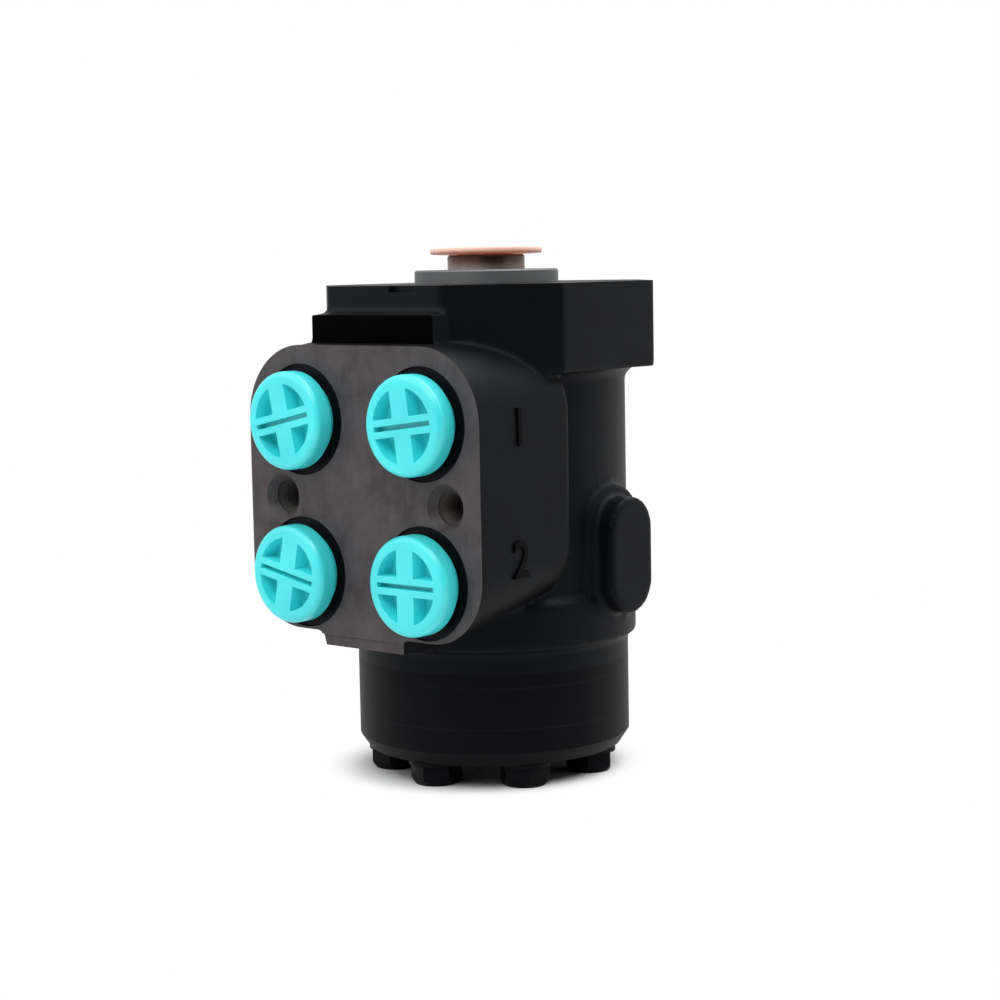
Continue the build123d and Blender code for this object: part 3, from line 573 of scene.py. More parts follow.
finishes = {
    "black_cast_iron": satin_paint("painted_cast_iron", "#050607", "#090B0D", 1.3, 0.09),
    "black_plate": satin_paint("painted_ground_plate", "#030304", "#060607", 1.0, 0.03, level=0.09),
    "black_ring": satin_paint("painted_gear_ring", "#030304", "#060607", 1.0, 0.03, level=0.09),
    "black_cover": satin_paint("painted_turned_cover", "#030304", "#060607", 1.0, 0.03, level=0.09),
    "black_bolts": satin_paint("painted_bolt_heads", "#020203", "#050505", 0.9, 0.04, level=0.09),
    "black_washers": satin_paint("painted_washers", "#030303", "#060606", 0.9, 0.03, level=0.09),
    "ground_steel": spool_steel_with_painted_shade(),
    "hardened_sleeve": worked_steel("honed_sleeve_steel", "#8F8E8C", "#A3A2A0", 0.25, "round"),
    "bearing_steel": worked_steel("polished_bearing_steel", "#B4B4B2", "#C6C6C4", 0.16, "every"),
    "cage_steel": worked_steel("pressed_cage_steel", "#8C8A84", "#A09D96", 0.35, "every"),
    "spring_steel": worked_steel("blued_spring_steel", "#3A4252", "#4C566A", 0.3, "along"),
    "forged_steel": worked_steel("machined_forging_steel", "#5E5C5A", "#73706D", 0.4, "along"),
    "gear_steel": worked_steel("ground_gear_steel", "#A3A2A0", "#B6B5B2", 0.25, "every"),
    "black_rubber": moulded_rubber("moulded_nitrile_rubber", "#101010"),
    "seal_ring": moulded_plastic("bronze_filled_ptfe", "#3C5A4E", "#30493F", 0.5, 0.3),
    "turquoise_plastic": moulded_plastic(
        "moulded_turquoise_polyethylene", "#47E9ED", "#3CDAE0", 0.3, 0.55, weight=0.0
    ),
    "salmon_plastic": moulded_plastic(
        "moulded_salmon_polyethylene", "#FFC0B1", "#FFB6A5", 0.4, 0.3, depth=4.0, weight=1.0
    ),
}
port_face_paint = milled_face_paint()
# painted shade: the cast figures are painted darker and duller than the pad round them
figure_painted_shade = satin_paint("cast_figure_painted_shade", "#020203", "#040405", 0.9, 0.03, level=0.06)
# painted shade: near black and dull, for the bridge's front face, darker than the skin that faces the same
# way
bridge_front_painted_shade = satin_paint("painted_shade_bridge_front", "#020202", "#040404", 0.9, 0.02, (0.5, 0.6), 0.01)
# Both are cast iron: oil and graphite dull the turned ring, and the threads keep a little of a metal's gloss.
bare_iron = worked_steel("turned_oiled_iron", "#595C5E", "#666868", 0.46, "round", 0.7, metallic=0.0)
thread_iron = worked_steel("cut_thread_iron", "#4C4845", "#5C5753", 0.5, "round", 0.6, metallic=0.3)

slots = {piece["node"]: piece["material_slot"] for piece in frame["record"]["subparts"]}
for node, solid in frame["nodes"].items():
    solid.data.materials.clear()
    solid.data.materials.append(finishes[slots[node]])


def dressed(piece, slot, body, nodes=(), material=None):
    """Gives a finished piece its finish, its body and the nodes that it stands for."""
    piece.data.materials.clear()
    piece.data.materials.append(material or finishes[slot])
    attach(piece, body)
    if nodes:
        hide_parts(*nodes)
    return piece


# ------------------------------------------------------------------ casting
def pad_form():
    """The port pad: a block with big rounded corners, whose underside climbs towards the neck."""
    pad = block("pad", (-PAD_HALF, -PAD_REACH - 3, PAD_BOTTOM), (PAD_HALF, -PAD_BACK, PAD_TOP))
    middle = (PAD_TOP + PAD_BOTTOM) / 2
    rounded(pad, (0, 1, 0), PAD_TOP_ROUND, lambda place: place.z > middle)
    rounded(pad, (0, 1, 0), PAD_BOTTOM_ROUND, lambda place: place.z < middle)
    rise = (PAD_BACK_TOP - PAD_BACK_BOTTOM) / (PAD_TOP - PAD_BOTTOM)

    def at_back(place):
        return place.y > -PAD_BACK - 1

    move_points(pad, at_back, scale=(PAD_FLARE, 1, rise), about=(0, 0, PAD_BACK_TOP))
    return move_points(pad, at_back, shift=(0, 0, (PAD_BACK_TOP - PAD_TOP) * (1 - rise)))


def stadium(name, margin, low_x, high_x):
    """An upright rounded-ended block that points along +X: the oval boss or its foot."""
    half_width = BOSS_WIDTH / 2 + margin
    half_height = BOSS_HEIGHT / 2 + margin
    piece = block(
        name,
        (low_x, BOSS_Y - half_width, BOSS_Z - half_height),
        (high_x, BOSS_Y + half_width, BOSS_Z + half_height),
    )
    return rounded(piece, (1, 0, 0), half_width - 0.05)


def casting_skin():
    """The rough casting, with soft edges everywhere and some iron left on for the machined faces."""
    flange = block("casting", (-FLANGE_HALF, -FLANGE_HALF, -FLANGE_THICKNESS), (FLANGE_HALF, FLANGE_HALF, 3))
    rounded(flange, (0, 0, 1), FLANGE_CORNER, segments=1)
    neck = turned(
        "neck",
        (
            (NECK_RADIUS + NECK_BLEND + 0.8, -FLANGE_THICKNESS + 2),
            (NECK_RADIUS + NECK_BLEND, -FLANGE_THICKNESS),
            (NECK_RADIUS, -FLANGE_THICKNESS - NECK_BLEND),
            (NECK_RADIUS, COLLAR_TOP + 2.0),
            (COLLAR_RADIUS, COLLAR_TOP - 0.6),
            (COLLAR_RADIUS, COLLAR_BOTTOM),
            (DRUM_RADIUS, COLLAR_BOTTOM - COLLAR_BEVEL),
            (DRUM_RADIUS, PLATE_HIGH.z - 3),
        ),
        128,
    )
    bridge = block(
        "bridge",
        (-BRIDGE_HALF, -BRIDGE_REACH - MILL_STOCK, BRIDGE_BOTTOM),
        (BRIDGE_HALF, -PAD_BACK, BRIDGE_SLOPE_TOP),
    )
    move_points(
        bridge,
        lambda place: place.y < -BRIDGE_REACH and place.z > BRIDGE_TOP,
        shift=(0, 0, (BRIDGE_TOP - BRIDGE_SLOPE_TOP) * (1 + MILL_STOCK / (BRIDGE_REACH - FLANGE_HALF))),
    )
    heel = block(
        "heel",
        (HEEL_LEFT, -HEEL_FRONT - MILL_STOCK, HEEL_BOTTOM - MILL_STOCK),
        (HEEL_RIGHT, -HEEL_BACK, PAD_BACK_BOTTOM),
    )
    move_points(heel, lambda place: place.x < 0 and place.z > PAD_BOTTOM, shift=(-HEEL_SLANT, 0, 0))
    foot = stadium("boss_foot", BOSS_FOOT, NECK_RADIUS / 2, BOSS_FOOT_FACE)
    boss = stadium("boss", 0, NECK_RADIUS / 2, BOSS_FACE)
    parts = (neck, pad_form(), bridge, heel, foot, boss)
    deselect()
    for part in (flange, *parts):
        part.select_set(True)
    bpy.context.view_layer.objects.active = flange
    bpy.ops.object.join()
    apply_modifier(flange, "REMESH", mode="VOXEL", voxel_size=CAST_VOXEL * MM, adaptivity=0)
    apply_modifier(flange, "SMOOTH", factor=0.5, iterations=CAST_SMOOTHING)
    return flange


def drill(name, start, end, radius):
    """A round drill between two points."""
    start, end = Vector(start), Vector(end)
    way = end - start
    tool = turned(name, ((radius, 0), (radius, way.length)), 32)
    return placed(tool, at(*start) @ way.to_track_quat("Z", "Y").to_matrix().to_4x4())


def tapping_drill(name, depth, mouth, mouth_depth):
    """A drill that points along +Z, for a tapped hole with a countersunk mouth."""
    return turned(
        name,
        (
            (HOLE_THREAD_RADIUS, -depth),
            (HOLE_THREAD_RADIUS, -mouth_depth),
            (mouth, 0),
            (mouth, DRILL_RUN_OUT),
        ),
        48,
    )


def mill(name, front=-MILL_REACH, back=MILL_REACH, foot=MILL_FOOT, top=MILL_TOP):
    """A mill that clears the casting's whole width, from front to back and from foot to top."""
    return block(name, (-MILL_REACH, front, foot), (MILL_REACH, back, top))


def joined_tools(tools):
    """Several tools that don't touch, as one mesh."""
    deselect()
    for tool in tools:
        tool.select_set(True)
    bpy.context.view_layer.objects.active = tools[0]
    bpy.ops.object.join()
    return tools[0]


casting = casting_skin()
mills = [
    mill("top_mill", foot=0),
    mill("face_mill", front=FACE_MILL_FRONT, back=-PAD_REACH),
    mill("bottom_mill", top=HOUSING_LOW.z),
    mill("bridge_mill", back=-BRIDGE_REACH, foot=PAD_TOP + MILL_GAP),
    mill("heel_front_mill", back=-HEEL_FRONT, top=PAD_BOTTOM - MILL_GAP),
    mill("heel_foot_mill", back=-COLLAR_RADIUS - HEEL_MILL_GAP, top=HEEL_BOTTOM),
]
combined(casting, mills)

port_drill = turned(
    "port_drill",
    (
        (PORT_THREAD_RADIUS, -PORT_DEPTH),
        (PORT_THREAD_RADIUS, -SPOTFACE_DEPTH),
        (SPOTFACE_RADIUS, -SPOTFACE_DEPTH),
        (SPOTFACE_RADIUS, DRILL_RUN_OUT),
    ),
)
drills = [copied(port_drill, "port_drill_" + name, at_port(place)) for name, place in PORTS.items()]
bpy.data.objects.remove(port_drill)
block_drill = tapping_drill("block_drill", BLOCK_HOLE_DEPTH, BLOCK_HOLE_MOUTH, BLOCK_MOUTH_DEPTH)
drills += [copied(block_drill, f"block_drill_{side}", at_block_hole(side)) for side in (-1, 1)]
bpy.data.objects.remove(block_drill)
flange_drill = tapping_drill("flange_drill", FLANGE_HOLE_DEPTH, FLANGE_HOLE_MOUTH, FLANGE_MOUTH_DEPTH)
drills += [copied(flange_drill, f"flange_drill_{quarter}", at_flange_hole(quarter)) for quarter in range(4)]
bpy.data.objects.remove(flange_drill)

# bore of spool and sleeve, with the recesses of both seals
bore_drill = turned(
    "bore_drill",
    (
        (BORE_RADIUS, HOUSING_LOW.z - DRILL_RUN_OUT),
        (BORE_RADIUS, BORE_TOP),
        (NECK_BORE_RADIUS, BORE_TOP),
        (NECK_BORE_RADIUS, SHAFT_SEAL_BOTTOM),
        (SHAFT_SEAL_RADIUS, SHAFT_SEAL_BOTTOM),
        (SHAFT_SEAL_RADIUS, SHAFT_SEAL_TOP),
        (NECK_BORE_RADIUS, SHAFT_SEAL_TOP),
        (NECK_BORE_RADIUS, SEAL_FLOOR),
        (SEAL_RECESS + 0.02, SEAL_FLOOR),
        (SEAL_RECESS + 0.02, DRILL_RUN_OUT),
    ),
)
drills.append(bore_drill)
# threads of the cover bolts, and the check valve's chamber in one of them
bolt_places = [
    Vector((BOLT_RING * math.cos(math.radians(turn)), BOLT_RING * math.sin(math.radians(turn)), 0))
    for turn in BOLT_TURNS
]
for number, place in enumerate(bolt_places):
    special = number == SPECIAL_BOLT
    top = BALL_HOLE_TOP if special else HOUSING_LOW.z + COVER_HOLE_DEPTH
    drills.append(
        drill(
            f"bolt_drill_{number}",
            (place.x, place.y, HOUSING_LOW.z - DRILL_RUN_OUT),
            (place.x, place.y, top),
            BALL_HOLE_RADIUS if special else COVER_HOLE_RADIUS,
        )
    )
combined(casting, [joined_tools(drills)])
# channels from the ports to the sleeve
channels = []
for name, place in PORTS.items():
    groove = UPPER_CHANNEL_Z if place.z > BLOCK_BOLT_Z else LOWER_CHANNEL_Z
    start = (place.x, -PAD_REACH + PORT_DEPTH - 1, place.z)
    end = (math.copysign(CHANNEL_END, place.x), -CHANNEL_END, groove)
    channels.append(drill("channel_" + name, start, end, CHANNEL_RADIUS))
combined(casting, [joined_tools(channels)])
notch = block(
    "notch",
    (NOTCH_LEFT, -FLANGE_HALF - 3, -NOTCH_DEPTH),
    (NOTCH_LEFT + NOTCH_WIDTH, -FLANGE_HALF + NOTCH_DEPTH, 3),
)
combined(casting, [notch])
shaded(casting, 38)
dressed(casting, "black_cast_iron", "housing_body", ["housing"])
casting.data.materials.append(port_face_paint)
casting.data.materials.append(bridge_front_painted_shade)
PORT_FACE, BRIDGE_PAINTED_SHADE_FACE = 1, 2  # the casting's material slots after its cast skin
for face in casting.data.polygons:
    middle = face.center / MM
    forwards = face.normal.y < -0.99
    on_pad = middle.y < -PAD_REACH + FACE_TOLERANCE
    on_heel = abs(middle.y + HEEL_FRONT) < FACE_TOLERANCE
    on_bridge = abs(middle.y + BRIDGE_REACH) < FACE_TOLERANCE and middle.z > PAD_TOP
    in_mouth = (
        abs(abs(middle.x) - BLOCK_BOLT_SPACING / 2) < BLOCK_HOLE_MOUTH
        and abs(middle.z - BLOCK_BOLT_Z) < BLOCK_HOLE_MOUTH
        and middle.y < -PAD_REACH + BLOCK_MOUTH_DEPTH
        and face.normal.y < -0.3
    )
    if in_mouth or (forwards and (on_pad or on_heel)):
        face.material_index = PORT_FACE
    # the bridge's front face takes the painted shade
    elif forwards and on_bridge:
        face.material_index = BRIDGE_PAINTED_SHADE_FACE


# ------------------------------------------------------------------ turned details of the housing
def turned_ring(name, corners, segments):
    """A ring turned on a lathe from the closed outline of its section."""
    return turned(name, (*corners, corners[0]), segments, ring=True)


pilot = turned_ring(
    "pilot_ring",
    (
        (SEAL_RECESS, 0.02),
        (PILOT_RADIUS, 0.02),
        (PILOT_RADIUS, PILOT_HEIGHT - 0.5),
        (PILOT_RADIUS - 0.5, PILOT_HEIGHT),
        (SEAL_RECESS + 0.4, PILOT_HEIGHT),
        (SEAL_RECESS, PILOT_HEIGHT - 0.4),
    ),
    128,
)
dressed(shaded(pilot), "black_cast_iron", "housing_body", material=bare_iron)

# the paint bridges the joints of the gear section; the bead is painted paler than the drum, a painted
# highlight, so the joints show as faint paler lines
joint_painted_highlight = satin_paint("joint_bead_painted_highlight", "#07080A", "#0B0C0F", 1.0, 0.02, level=0.11)
for name, height in (("plate", PLATE_HIGH.z), ("ring", PLATE_LOW.z), ("cover", RING_LOW.z)):
    bead = turned_ring(
        "joint_painted_highlight_" + name,
        (
            (DRUM_RADIUS - JOINT_CHAMFER - 0.04, height),
            (DRUM_RADIUS - JOINT_HOLLOW, height - JOINT_CHAMFER + 0.04),
            (DRUM_RADIUS - JOINT_HOLLOW, height + JOINT_CHAMFER - 0.04),
        ),
        128,
    )
    dressed(shaded(bead, 50), "black_ring", "housing_body", material=joint_painted_highlight)


# plain figures, cast on the side of the pad beside its ports, and painted darker than the pad as painted
# shade
def cast_figure(name, text, place):
    """One raised figure on the +X side of the pad."""
    deselect()
    bpy.ops.object.text_add()
    figure = bpy.context.object
    figure.data.body = text
    figure.data.align_x = "CENTER"
    figure.data.align_y = "CENTER"
    figure.data.size = FIGURE_SIZE * MM
    figure.data.extrude = FIGURE_RAISE * MM
    figure.data.bevel_depth = FIGURE_EDGE * MM
    bpy.ops.object.convert(target="MESH")
    figure = settle(name)
    upright_on_side = Matrix(((0, 0, 1, 0), (1, 0, 0, 0), (0, 1, 0, 0), (0, 0, 0, 1)))
    return placed(figure, at(*place) @ upright_on_side)


for text, height in FIGURE_HEIGHTS.items():
    figure = cast_figure("cast_figure_" + text, text, (PAD_HALF + FIGURE_STAND, FIGURE_Y, height))
    dressed(shaded(figure, 30), "black_cast_iron", "housing_body", material=figure_painted_shade)


def thread_liner(name, root, minor, low, high, pitch):
    """The ridges of an internal thread, as a thin ring along a hole. Shares of the pitch shape each ridge."""
    section = [(root - 0.02, high), (root - 0.02, low)]
    turns = int((high - low) / pitch)
    for turn in range(turns):
        base = low + turn * pitch
        section += [
            (root - 0.06, base + 0.05 * pitch),
            (minor, base + 0.45 * pitch),
            (minor, base + 0.6 * pitch),
        ]
    section.append((root - 0.06, low + turns * pitch))
    return turned_ring(name, section, 64)


def line_holes(liner, places):
    """Puts a copy of a thread liner at each named place, and removes the pattern."""
    for name, place in places.items():
        thread = copied(liner, name, place)
        dressed(shaded(thread, 60), "black_cast_iron", "housing_body", material=thread_iron)
    bpy.data.objects.remove(liner)


line_holes(
    thread_liner(
        "port_liner",
        PORT_THREAD_RADIUS,
        PORT_THREAD_MINOR,
        -PORT_DEPTH + 1.2,
        -SPOTFACE_DEPTH - 0.4,
        PORT_THREAD_PITCH,
    ),
    {"port_thread_" + name: at_port(place) for name, place in PORTS.items()},
)
line_holes(
    thread_liner(
        "hole_liner",
        HOLE_THREAD_RADIUS,
        TAP_RADIUS,
        -LINER_DEPTH,
        -BLOCK_MOUTH_DEPTH - 0.2,
        HOLE_THREAD_PITCH,
    ),
    {"block_thread_left": at_block_hole(-1), "block_thread_right": at_block_hole(1)}
    | {f"flange_thread_{quarter + 1}": at_flange_hole(quarter, FLANGE_LINER_RISE) for quarter in range(4)},
)

# ------------------------------------------------------------------ transport plugs
PLUG_RADIUS = 15.2
PLUG_HEIGHT = 9.5
PLUG_HEAD = 6.9
PLUG_WAIST = 12.8
PLUG_STEM = 9.35
PLUG_STEM_CORE = 8.85  # between the ridges
PLUG_STEM_LENGTH = 10.0
PLUG_STEM_HOLLOW = 6.6
PLUG_SEAT_GAP = 0.02  # off the spot face, so that the two faces don't fall in one plane
PLUG_POCKET = 11.5
PLUG_POCKET_DEPTH = 5.4
PLUG_RIB = 6.6
PLUG_BAR = 5.6
PLUG_RIM_ROUND = 2.1
PLUG_SLOT = 1.5
PLUG_SLOT_DEPTH = 3.4
PLUG_TURNS = {"upper_left": 12.5, "upper_right": 7.4, "lower_left": -11.4, "lower_right": 0.0}

stem = [(PLUG_STEM_CORE - 0.4, -PLUG_STEM_LENGTH), (PLUG_STEM_CORE, -PLUG_STEM_LENGTH + 0.4)]
for ridge in range(4):
    base = -PLUG_STEM_LENGTH + 0.8 + ridge * PORT_THREAD_PITCH
    stem += [
        (PLUG_STEM_CORE, base),
        (PLUG_STEM, base + 0.7),
        (PLUG_STEM, base + 1.0),
        (PLUG_STEM_CORE, base + 1.6),
    ]
plug = turned(
    "plug",
    (
        *stem,
        (PLUG_STEM_CORE, -0.01),
        (PLUG_WAIST, 0),
        (PLUG_WAIST, PLUG_HEIGHT - PLUG_HEAD),
        (PLUG_RADIUS - 0.8, PLUG_HEIGHT - PLUG_HEAD),
        (PLUG_RADIUS, PLUG_HEIGHT - PLUG_HEAD + 0.7),
        *(
            (
                PLUG_RADIUS - PLUG_RIM_ROUND * (1 - math.cos(math.radians(turn))),
                PLUG_HEIGHT - PLUG_RIM_ROUND * (1 - math.sin(math.radians(turn))),
            )
            for turn in range(0, 91, 15)
        ),
    ),
)
pocket = turned(
    "pocket",
    ((PLUG_POCKET - 0.5, PLUG_HEIGHT - PLUG_POCKET_DEPTH), (PLUG_POCKET, PLUG_HEIGHT + 1)),
    72,
)
rib = block("rib", (-PLUG_RIB / 2, -PLUG_RADIUS, 0), (PLUG_RIB / 2, PLUG_RADIUS, PLUG_HEIGHT + 2))
bar = block("bar", (-PLUG_RADIUS, -PLUG_BAR / 2, 0), (PLUG_RADIUS, PLUG_BAR / 2, PLUG_HEIGHT + 2))
combined(pocket, [rib, bar])
hollow = turned(
    "hollow",
    ((PLUG_STEM_HOLLOW, -PLUG_STEM_LENGTH - 1), (PLUG_STEM_HOLLOW, PLUG_HEIGHT - PLUG_HEAD)),
    48,
)
slot = block(
    "slot",
    (-PLUG_POCKET + 0.3, -PLUG_SLOT / 2, PLUG_HEIGHT - PLUG_SLOT_DEPTH),
    (PLUG_POCKET - 0.3, PLUG_SLOT / 2, PLUG_HEIGHT + 1),
)
combined(plug, [pocket, hollow, slot])
softened(plug, 0.32, 3, 40)
for name, place in PORTS.items():
    seat = at_port(place, SPOTFACE_DEPTH - PLUG_SEAT_GAP, PLUG_TURNS[name])
    moulding = copied(plug, "transport_plug_" + name, seat)
    dressed(moulding, "turquoise_plastic", f"plug_{name}_body", [f"plug_{name}"])
bpy.data.objects.remove(plug)

# ------------------------------------------------------------------ spline cap
CAP_RADIUS = 18.0
CAP_THICKNESS = 1.6
CAP_HEIGHT = 9.4
CAP_TILT = 1.6
CAP_STEM = 8.3
CAP_STEM_WALL = 1.4
CAP_STEM_LENGTH = 6.0
cap = turned(
    "cap",
    (
        (CAP_STEM - CAP_STEM_WALL, 0.6),
        (CAP_STEM - CAP_STEM_WALL, -CAP_STEM_LENGTH + 0.3),
        (CAP_STEM - 1.1, -CAP_STEM_LENGTH),
        (CAP_STEM - 0.4, -CAP_STEM_LENGTH),
        (CAP_STEM, -CAP_STEM_LENGTH + 0.4),
        (CAP_STEM, -0.3),
        (CAP_STEM + 0.3, 0),
        (CAP_RADIUS - 0.35, 0),
        (CAP_RADIUS, 0.35),
        (CAP_RADIUS, CAP_THICKNESS - 0.4),
        (CAP_RADIUS - 0.12, CAP_THICKNESS - 0.12),
        (CAP_RADIUS - 0.4, CAP_THICKNESS),
        (CAP_RADIUS - 1.6, CAP_THICKNESS),
        (CAP_RADIUS - 2.0, CAP_THICKNESS - 0.3),
        (CAP_RADIUS - 9.0, CAP_THICKNESS - 0.35),
        (CAP_RADIUS - 9.4, CAP_THICKNESS - 0.15),
        (2.2, CAP_THICKNESS - 0.15),
        (1.8, CAP_THICKNESS - 0.45),
    ),
)
lean = -math.radians(CAP_TILT) * math.sqrt(0.5)
placed(cap, at(0, 0, CAP_HEIGHT) @ Matrix.Rotation(lean, 4, "X") @ Matrix.Rotation(lean, 4, "Y"))
dressed(shaded(cap, 40), "salmon_plastic", "cap_body", ["spline_cap"])

# ------------------------------------------------------------------ cover bolts and washers
BOLT_FLATS = 14.0
HEAD_HEIGHT = 6.4
SHANK_RADIUS, SHANK_TIP_RADIUS = 3.9, 3.2
WASHER_RADIUS, WASHER_HOLE_RADIUS = 8.7, 4.4
WASHER_THICKNESS = 1.6
HEAD_SEAT = COVER_LOW.z - WASHER_THICKNESS
deselect()
bpy.ops.mesh.primitive_cylinder_add(
    vertices=6,
    radius=BOLT_FLATS / math.sqrt(3) * MM,
    depth=HEAD_HEIGHT * MM,
    location=(0, 0, -HEAD_HEIGHT / 2 * MM),
)
head = settle("bolt")
crown = turned(
    "crown",
    (
        (BOLT_FLATS / 2 - 0.4, -HEAD_HEIGHT),
        (BOLT_FLATS / 2 + 0.55, -HEAD_HEIGHT + 1.2),
        (BOLT_FLATS / 2 + 2, -HEAD_HEIGHT + 3.2),
        (BOLT_FLATS / 2 + 2, 0.0),
    ),
)
combined(head, [crown], "INTERSECT")
softened(head, 0.25, 2, 28)
shank_end = BOLTS_HIGH.z - HEAD_SEAT
shank = turned(
    "shank",
    ((SHANK_RADIUS, -0.4), (SHANK_RADIUS, shank_end - 1.0), (SHANK_TIP_RADIUS, shank_end)),
    24,
)
without_flaps(combined(head, [shank], "UNION"))
washer = turned_ring(
    "washer",
    (
        (WASHER_HOLE_RADIUS, 0.02),
        (WASHER_RADIUS, 0.02),
        (WASHER_RADIUS, 0.3),
        (WASHER_RADIUS, WASHER_THICKNESS - 0.25),
        (WASHER_RADIUS - 0.25, WASHER_THICKNESS),
        (WASHER_HOLE_RADIUS, WASHER_THICKNESS),
    ),
    64,
)
for number, place in enumerate(bolt_places):
    special = number == SPECIAL_BOLT
    turn = Matrix.Rotation(math.radians(BOLT_TURNS[number] * (1 if special else 2)), 4, "Z")
    seat = at(place.x, place.y, HEAD_SEAT)
    fastener = copied(head, "check_valve_bolt" if special else f"cover_bolt_{number + 1}", seat @ turn)
    if special:
        foot = (place.x, place.y, BOLTS_HIGH.z - 1)
        pin = drill("pin", foot, (place.x, place.y, SPECIAL_HIGH.z), BALL_PIN_RADIUS)
        without_flaps(combined(fastener, [pin], "UNION"))
    node = "special_bolt" if special else "cover_bolts"
    dressed(shaded(fastener, 30), "black_bolts", "housing_body", [node])
    disc = copied(washer, f"bolt_washer_{number + 1}", seat)
    dressed(shaded(disc, 30), "black_washers", "housing_body", ["bolt_washers"])
bpy.data.objects.remove(head)
bpy.data.objects.remove(washer)

# ------------------------------------------------------------------ floor, light and camera
deselect()
bpy.ops.mesh.primitive_plane_add(size=FLOOR_SIZE)
floor = bpy.context.object
floor.name = "studio_floor"
floor.location.z = cad_low.z
sweep, tree, shader = new_material("white_studio_floor")
# Matt white laminate. For what sees it, a white glow is mixed in that rises with the distance from the
# shadow's middle: painted light, which cuts the part's own shadow off within SHADOW_REACH and leaves the
# floor beyond plain white.
shader.inputs["Base Color"].default_value = linear("#E8E8E8")
shader.inputs["Roughness"].default_value = 0.9
shader.inputs["Specular IOR Level"].default_value = 0.0


def seen_by_eye_or_mirror(tree):
    """1 for camera, glossy and transmission rays, and 0 for the rays that carry light to the part."""
    paths = add_node(tree, "ShaderNodeLightPath")
    seen = paths.outputs["Is Camera Ray"]
    for ray in ("Is Glossy Ray", "Is Transmission Ray"):
        seen = add_node(
            tree, "ShaderNodeMath", {"operation": "MAXIMUM"}, links={0: seen, 1: paths.outputs[ray]}
        ).outputs[0]
    return seen


place = add_node(tree, "ShaderNodeTexCoord")
away = add_node(
    tree,
    "ShaderNodeVectorMath",
    {"operation": "DISTANCE"},
    inputs={1: [value * MM for value in SHADOW_MIDDLE]},
    links={0: place.outputs["Object"]},
)
painted_glow_ramp = add_node(
    tree,
    "ShaderNodeMapRange",
    {"interpolation_type": "SMOOTHSTEP"},
    inputs={"From Min": SHADOW_REACH[0] * MM, "From Max": SHADOW_REACH[1] * MM},
    links={"Value": away.outputs["Value"]},
)
# painted light: the glow's share, only for what sees the floor
painted_glow_weight = add_node(
    tree,
    "ShaderNodeMath",
    {"operation": "MULTIPLY"},
    links={0: painted_glow_ramp.outputs["Result"], 1: seen_by_eye_or_mirror(tree)},
)
painted_white_glow = add_node(tree, "ShaderNodeEmission", inputs={"Color": linear("#FFFFFF"), "Strength": 1.0})
blend = add_node(
    tree,
    "ShaderNodeMixShader",
    links={0: painted_glow_weight.outputs[0], 1: shader.outputs[0], 2: painted_white_glow.outputs[0]},
)
tree.links.new(blend.outputs[0], tree.nodes["Material Output"].inputs["Surface"])
floor.data.materials.append(sweep)

world = bpy.data.worlds.new("studio")
bpy.context.scene.world = world
world.use_nodes = True
tree = world.node_tree
sky = tree.nodes["Background"]
sky.inputs["Color"].default_value = linear("#FFFFFF")
tree.links.new(spread(tree, seen_by_eye_or_mirror(tree), ROOM_LIGHT, 1.0), sky.inputs["Strength"])


def around(azimuth, elevation, distance):
    """A point round the object's middle: azimuth from -Y towards +X, in degrees, and distance in metres."""
    middle = (cad_low + cad_high) / 2
    a, e = math.radians(azimuth), math.radians(elevation)
    return middle + distance * Vector((math.sin(a) * math.cos(e), -math.cos(a) * math.cos(e), math.sin(e)))


def facing(place, target):
    """The turn that points an object's -Z from its place at a target."""
    return (target - place).to_track_quat("-Z", "Y").to_euler()


def softbox(name, azimuth, elevation, distance, size, power):
    """A square studio softbox that points at the object."""
    light = bpy.data.lights.new(name, "AREA")
    light.shape = "RECTANGLE"
    light.size = light.size_y = size
    light.energy = power
    lamp = bpy.data.objects.new(name, light)
    bpy.context.scene.collection.objects.link(lamp)
    lamp.location = around(azimuth, elevation, distance)
    lamp.rotation_euler = facing(lamp.location, (cad_low + cad_high) / 2)
    lamp.visible_camera = False


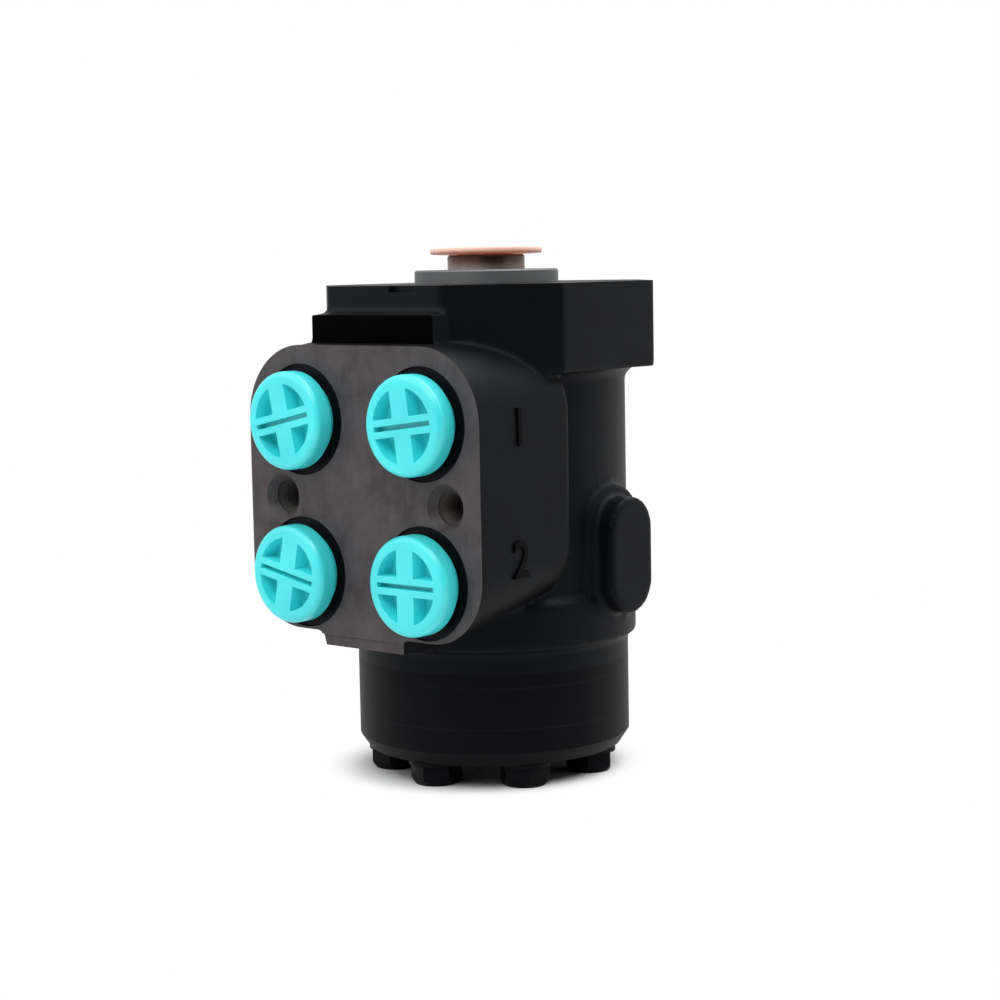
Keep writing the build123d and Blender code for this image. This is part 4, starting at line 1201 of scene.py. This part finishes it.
def dark_card(name, azimuth, elevation, distance, width, height):
    """A black card that keeps light off the sides that it faces."""
    deselect()
    place = around(azimuth, elevation, distance)
    bpy.ops.mesh.primitive_plane_add(size=1, location=place, rotation=facing(place, (cad_low + cad_high) / 2))
    bpy.context.object.scale = (width, height, 1)
    card = settle(name)
    card.data.materials.append(card_felt)
    card.visible_camera = False
    card.visible_shadow = False


card_felt, tree, shader = new_material("black_card")
shader.inputs["Base Color"].default_value = linear("#050505")
shader.inputs["Roughness"].default_value = 1.0
shader.inputs["Specular IOR Level"].default_value = 0.0

softbox("overhead_box", 150, 68, 1.6, 1.5, OVERHEAD_POWER)
softbox("front_box", -35, 42, 1.6, 1.5, FRONT_POWER)
softbox("column_box", 30, 46, 1.4, 0.8, COLUMN_POWER)
dark_card("camera_side_card", 60, 18.6, 0.52, 0.75, 0.5)

CAMERA_DISTANCE = 717.32
CAMERA_AZIMUTH = 40.408
CAMERA_HEIGHT = 6.68
CAMERA_YAW = -0.242
CAMERA_PITCH = 6.129
CAMERA_ROLL = 1.073
CAMERA_LENS = 79.915
CAMERA_SENSOR = 36.0
azimuth = math.radians(CAMERA_AZIMUTH)
heading = azimuth + math.radians(CAMERA_YAW)
pitch, roll = math.radians(CAMERA_PITCH), math.radians(CAMERA_ROLL)
forward = Vector(
    (-math.sin(heading) * math.cos(pitch), math.cos(heading) * math.cos(pitch), -math.sin(pitch))
)
level = Vector((math.cos(heading), math.sin(heading), 0))
upright = level.cross(forward)
right = level * math.cos(roll) - upright * math.sin(roll)
up = level * math.sin(roll) + upright * math.cos(roll)
camera_data = bpy.data.cameras.new("camera")
camera_data.lens = CAMERA_LENS
camera_data.sensor_width = CAMERA_SENSOR
camera_data.clip_start = 0.01
camera_data.clip_end = 50
camera = bpy.data.objects.new("camera", camera_data)
bpy.context.scene.collection.objects.link(camera)
spot = MM * Vector(
    (CAMERA_DISTANCE * math.sin(azimuth), -CAMERA_DISTANCE * math.cos(azimuth), CAMERA_HEIGHT)
)
basis = Matrix((right, up, -forward)).transposed().to_4x4()
camera.matrix_world = Matrix.Translation(spot) @ basis
bpy.context.scene.camera = camera
bpy.context.scene.view_settings.view_transform = "Standard"
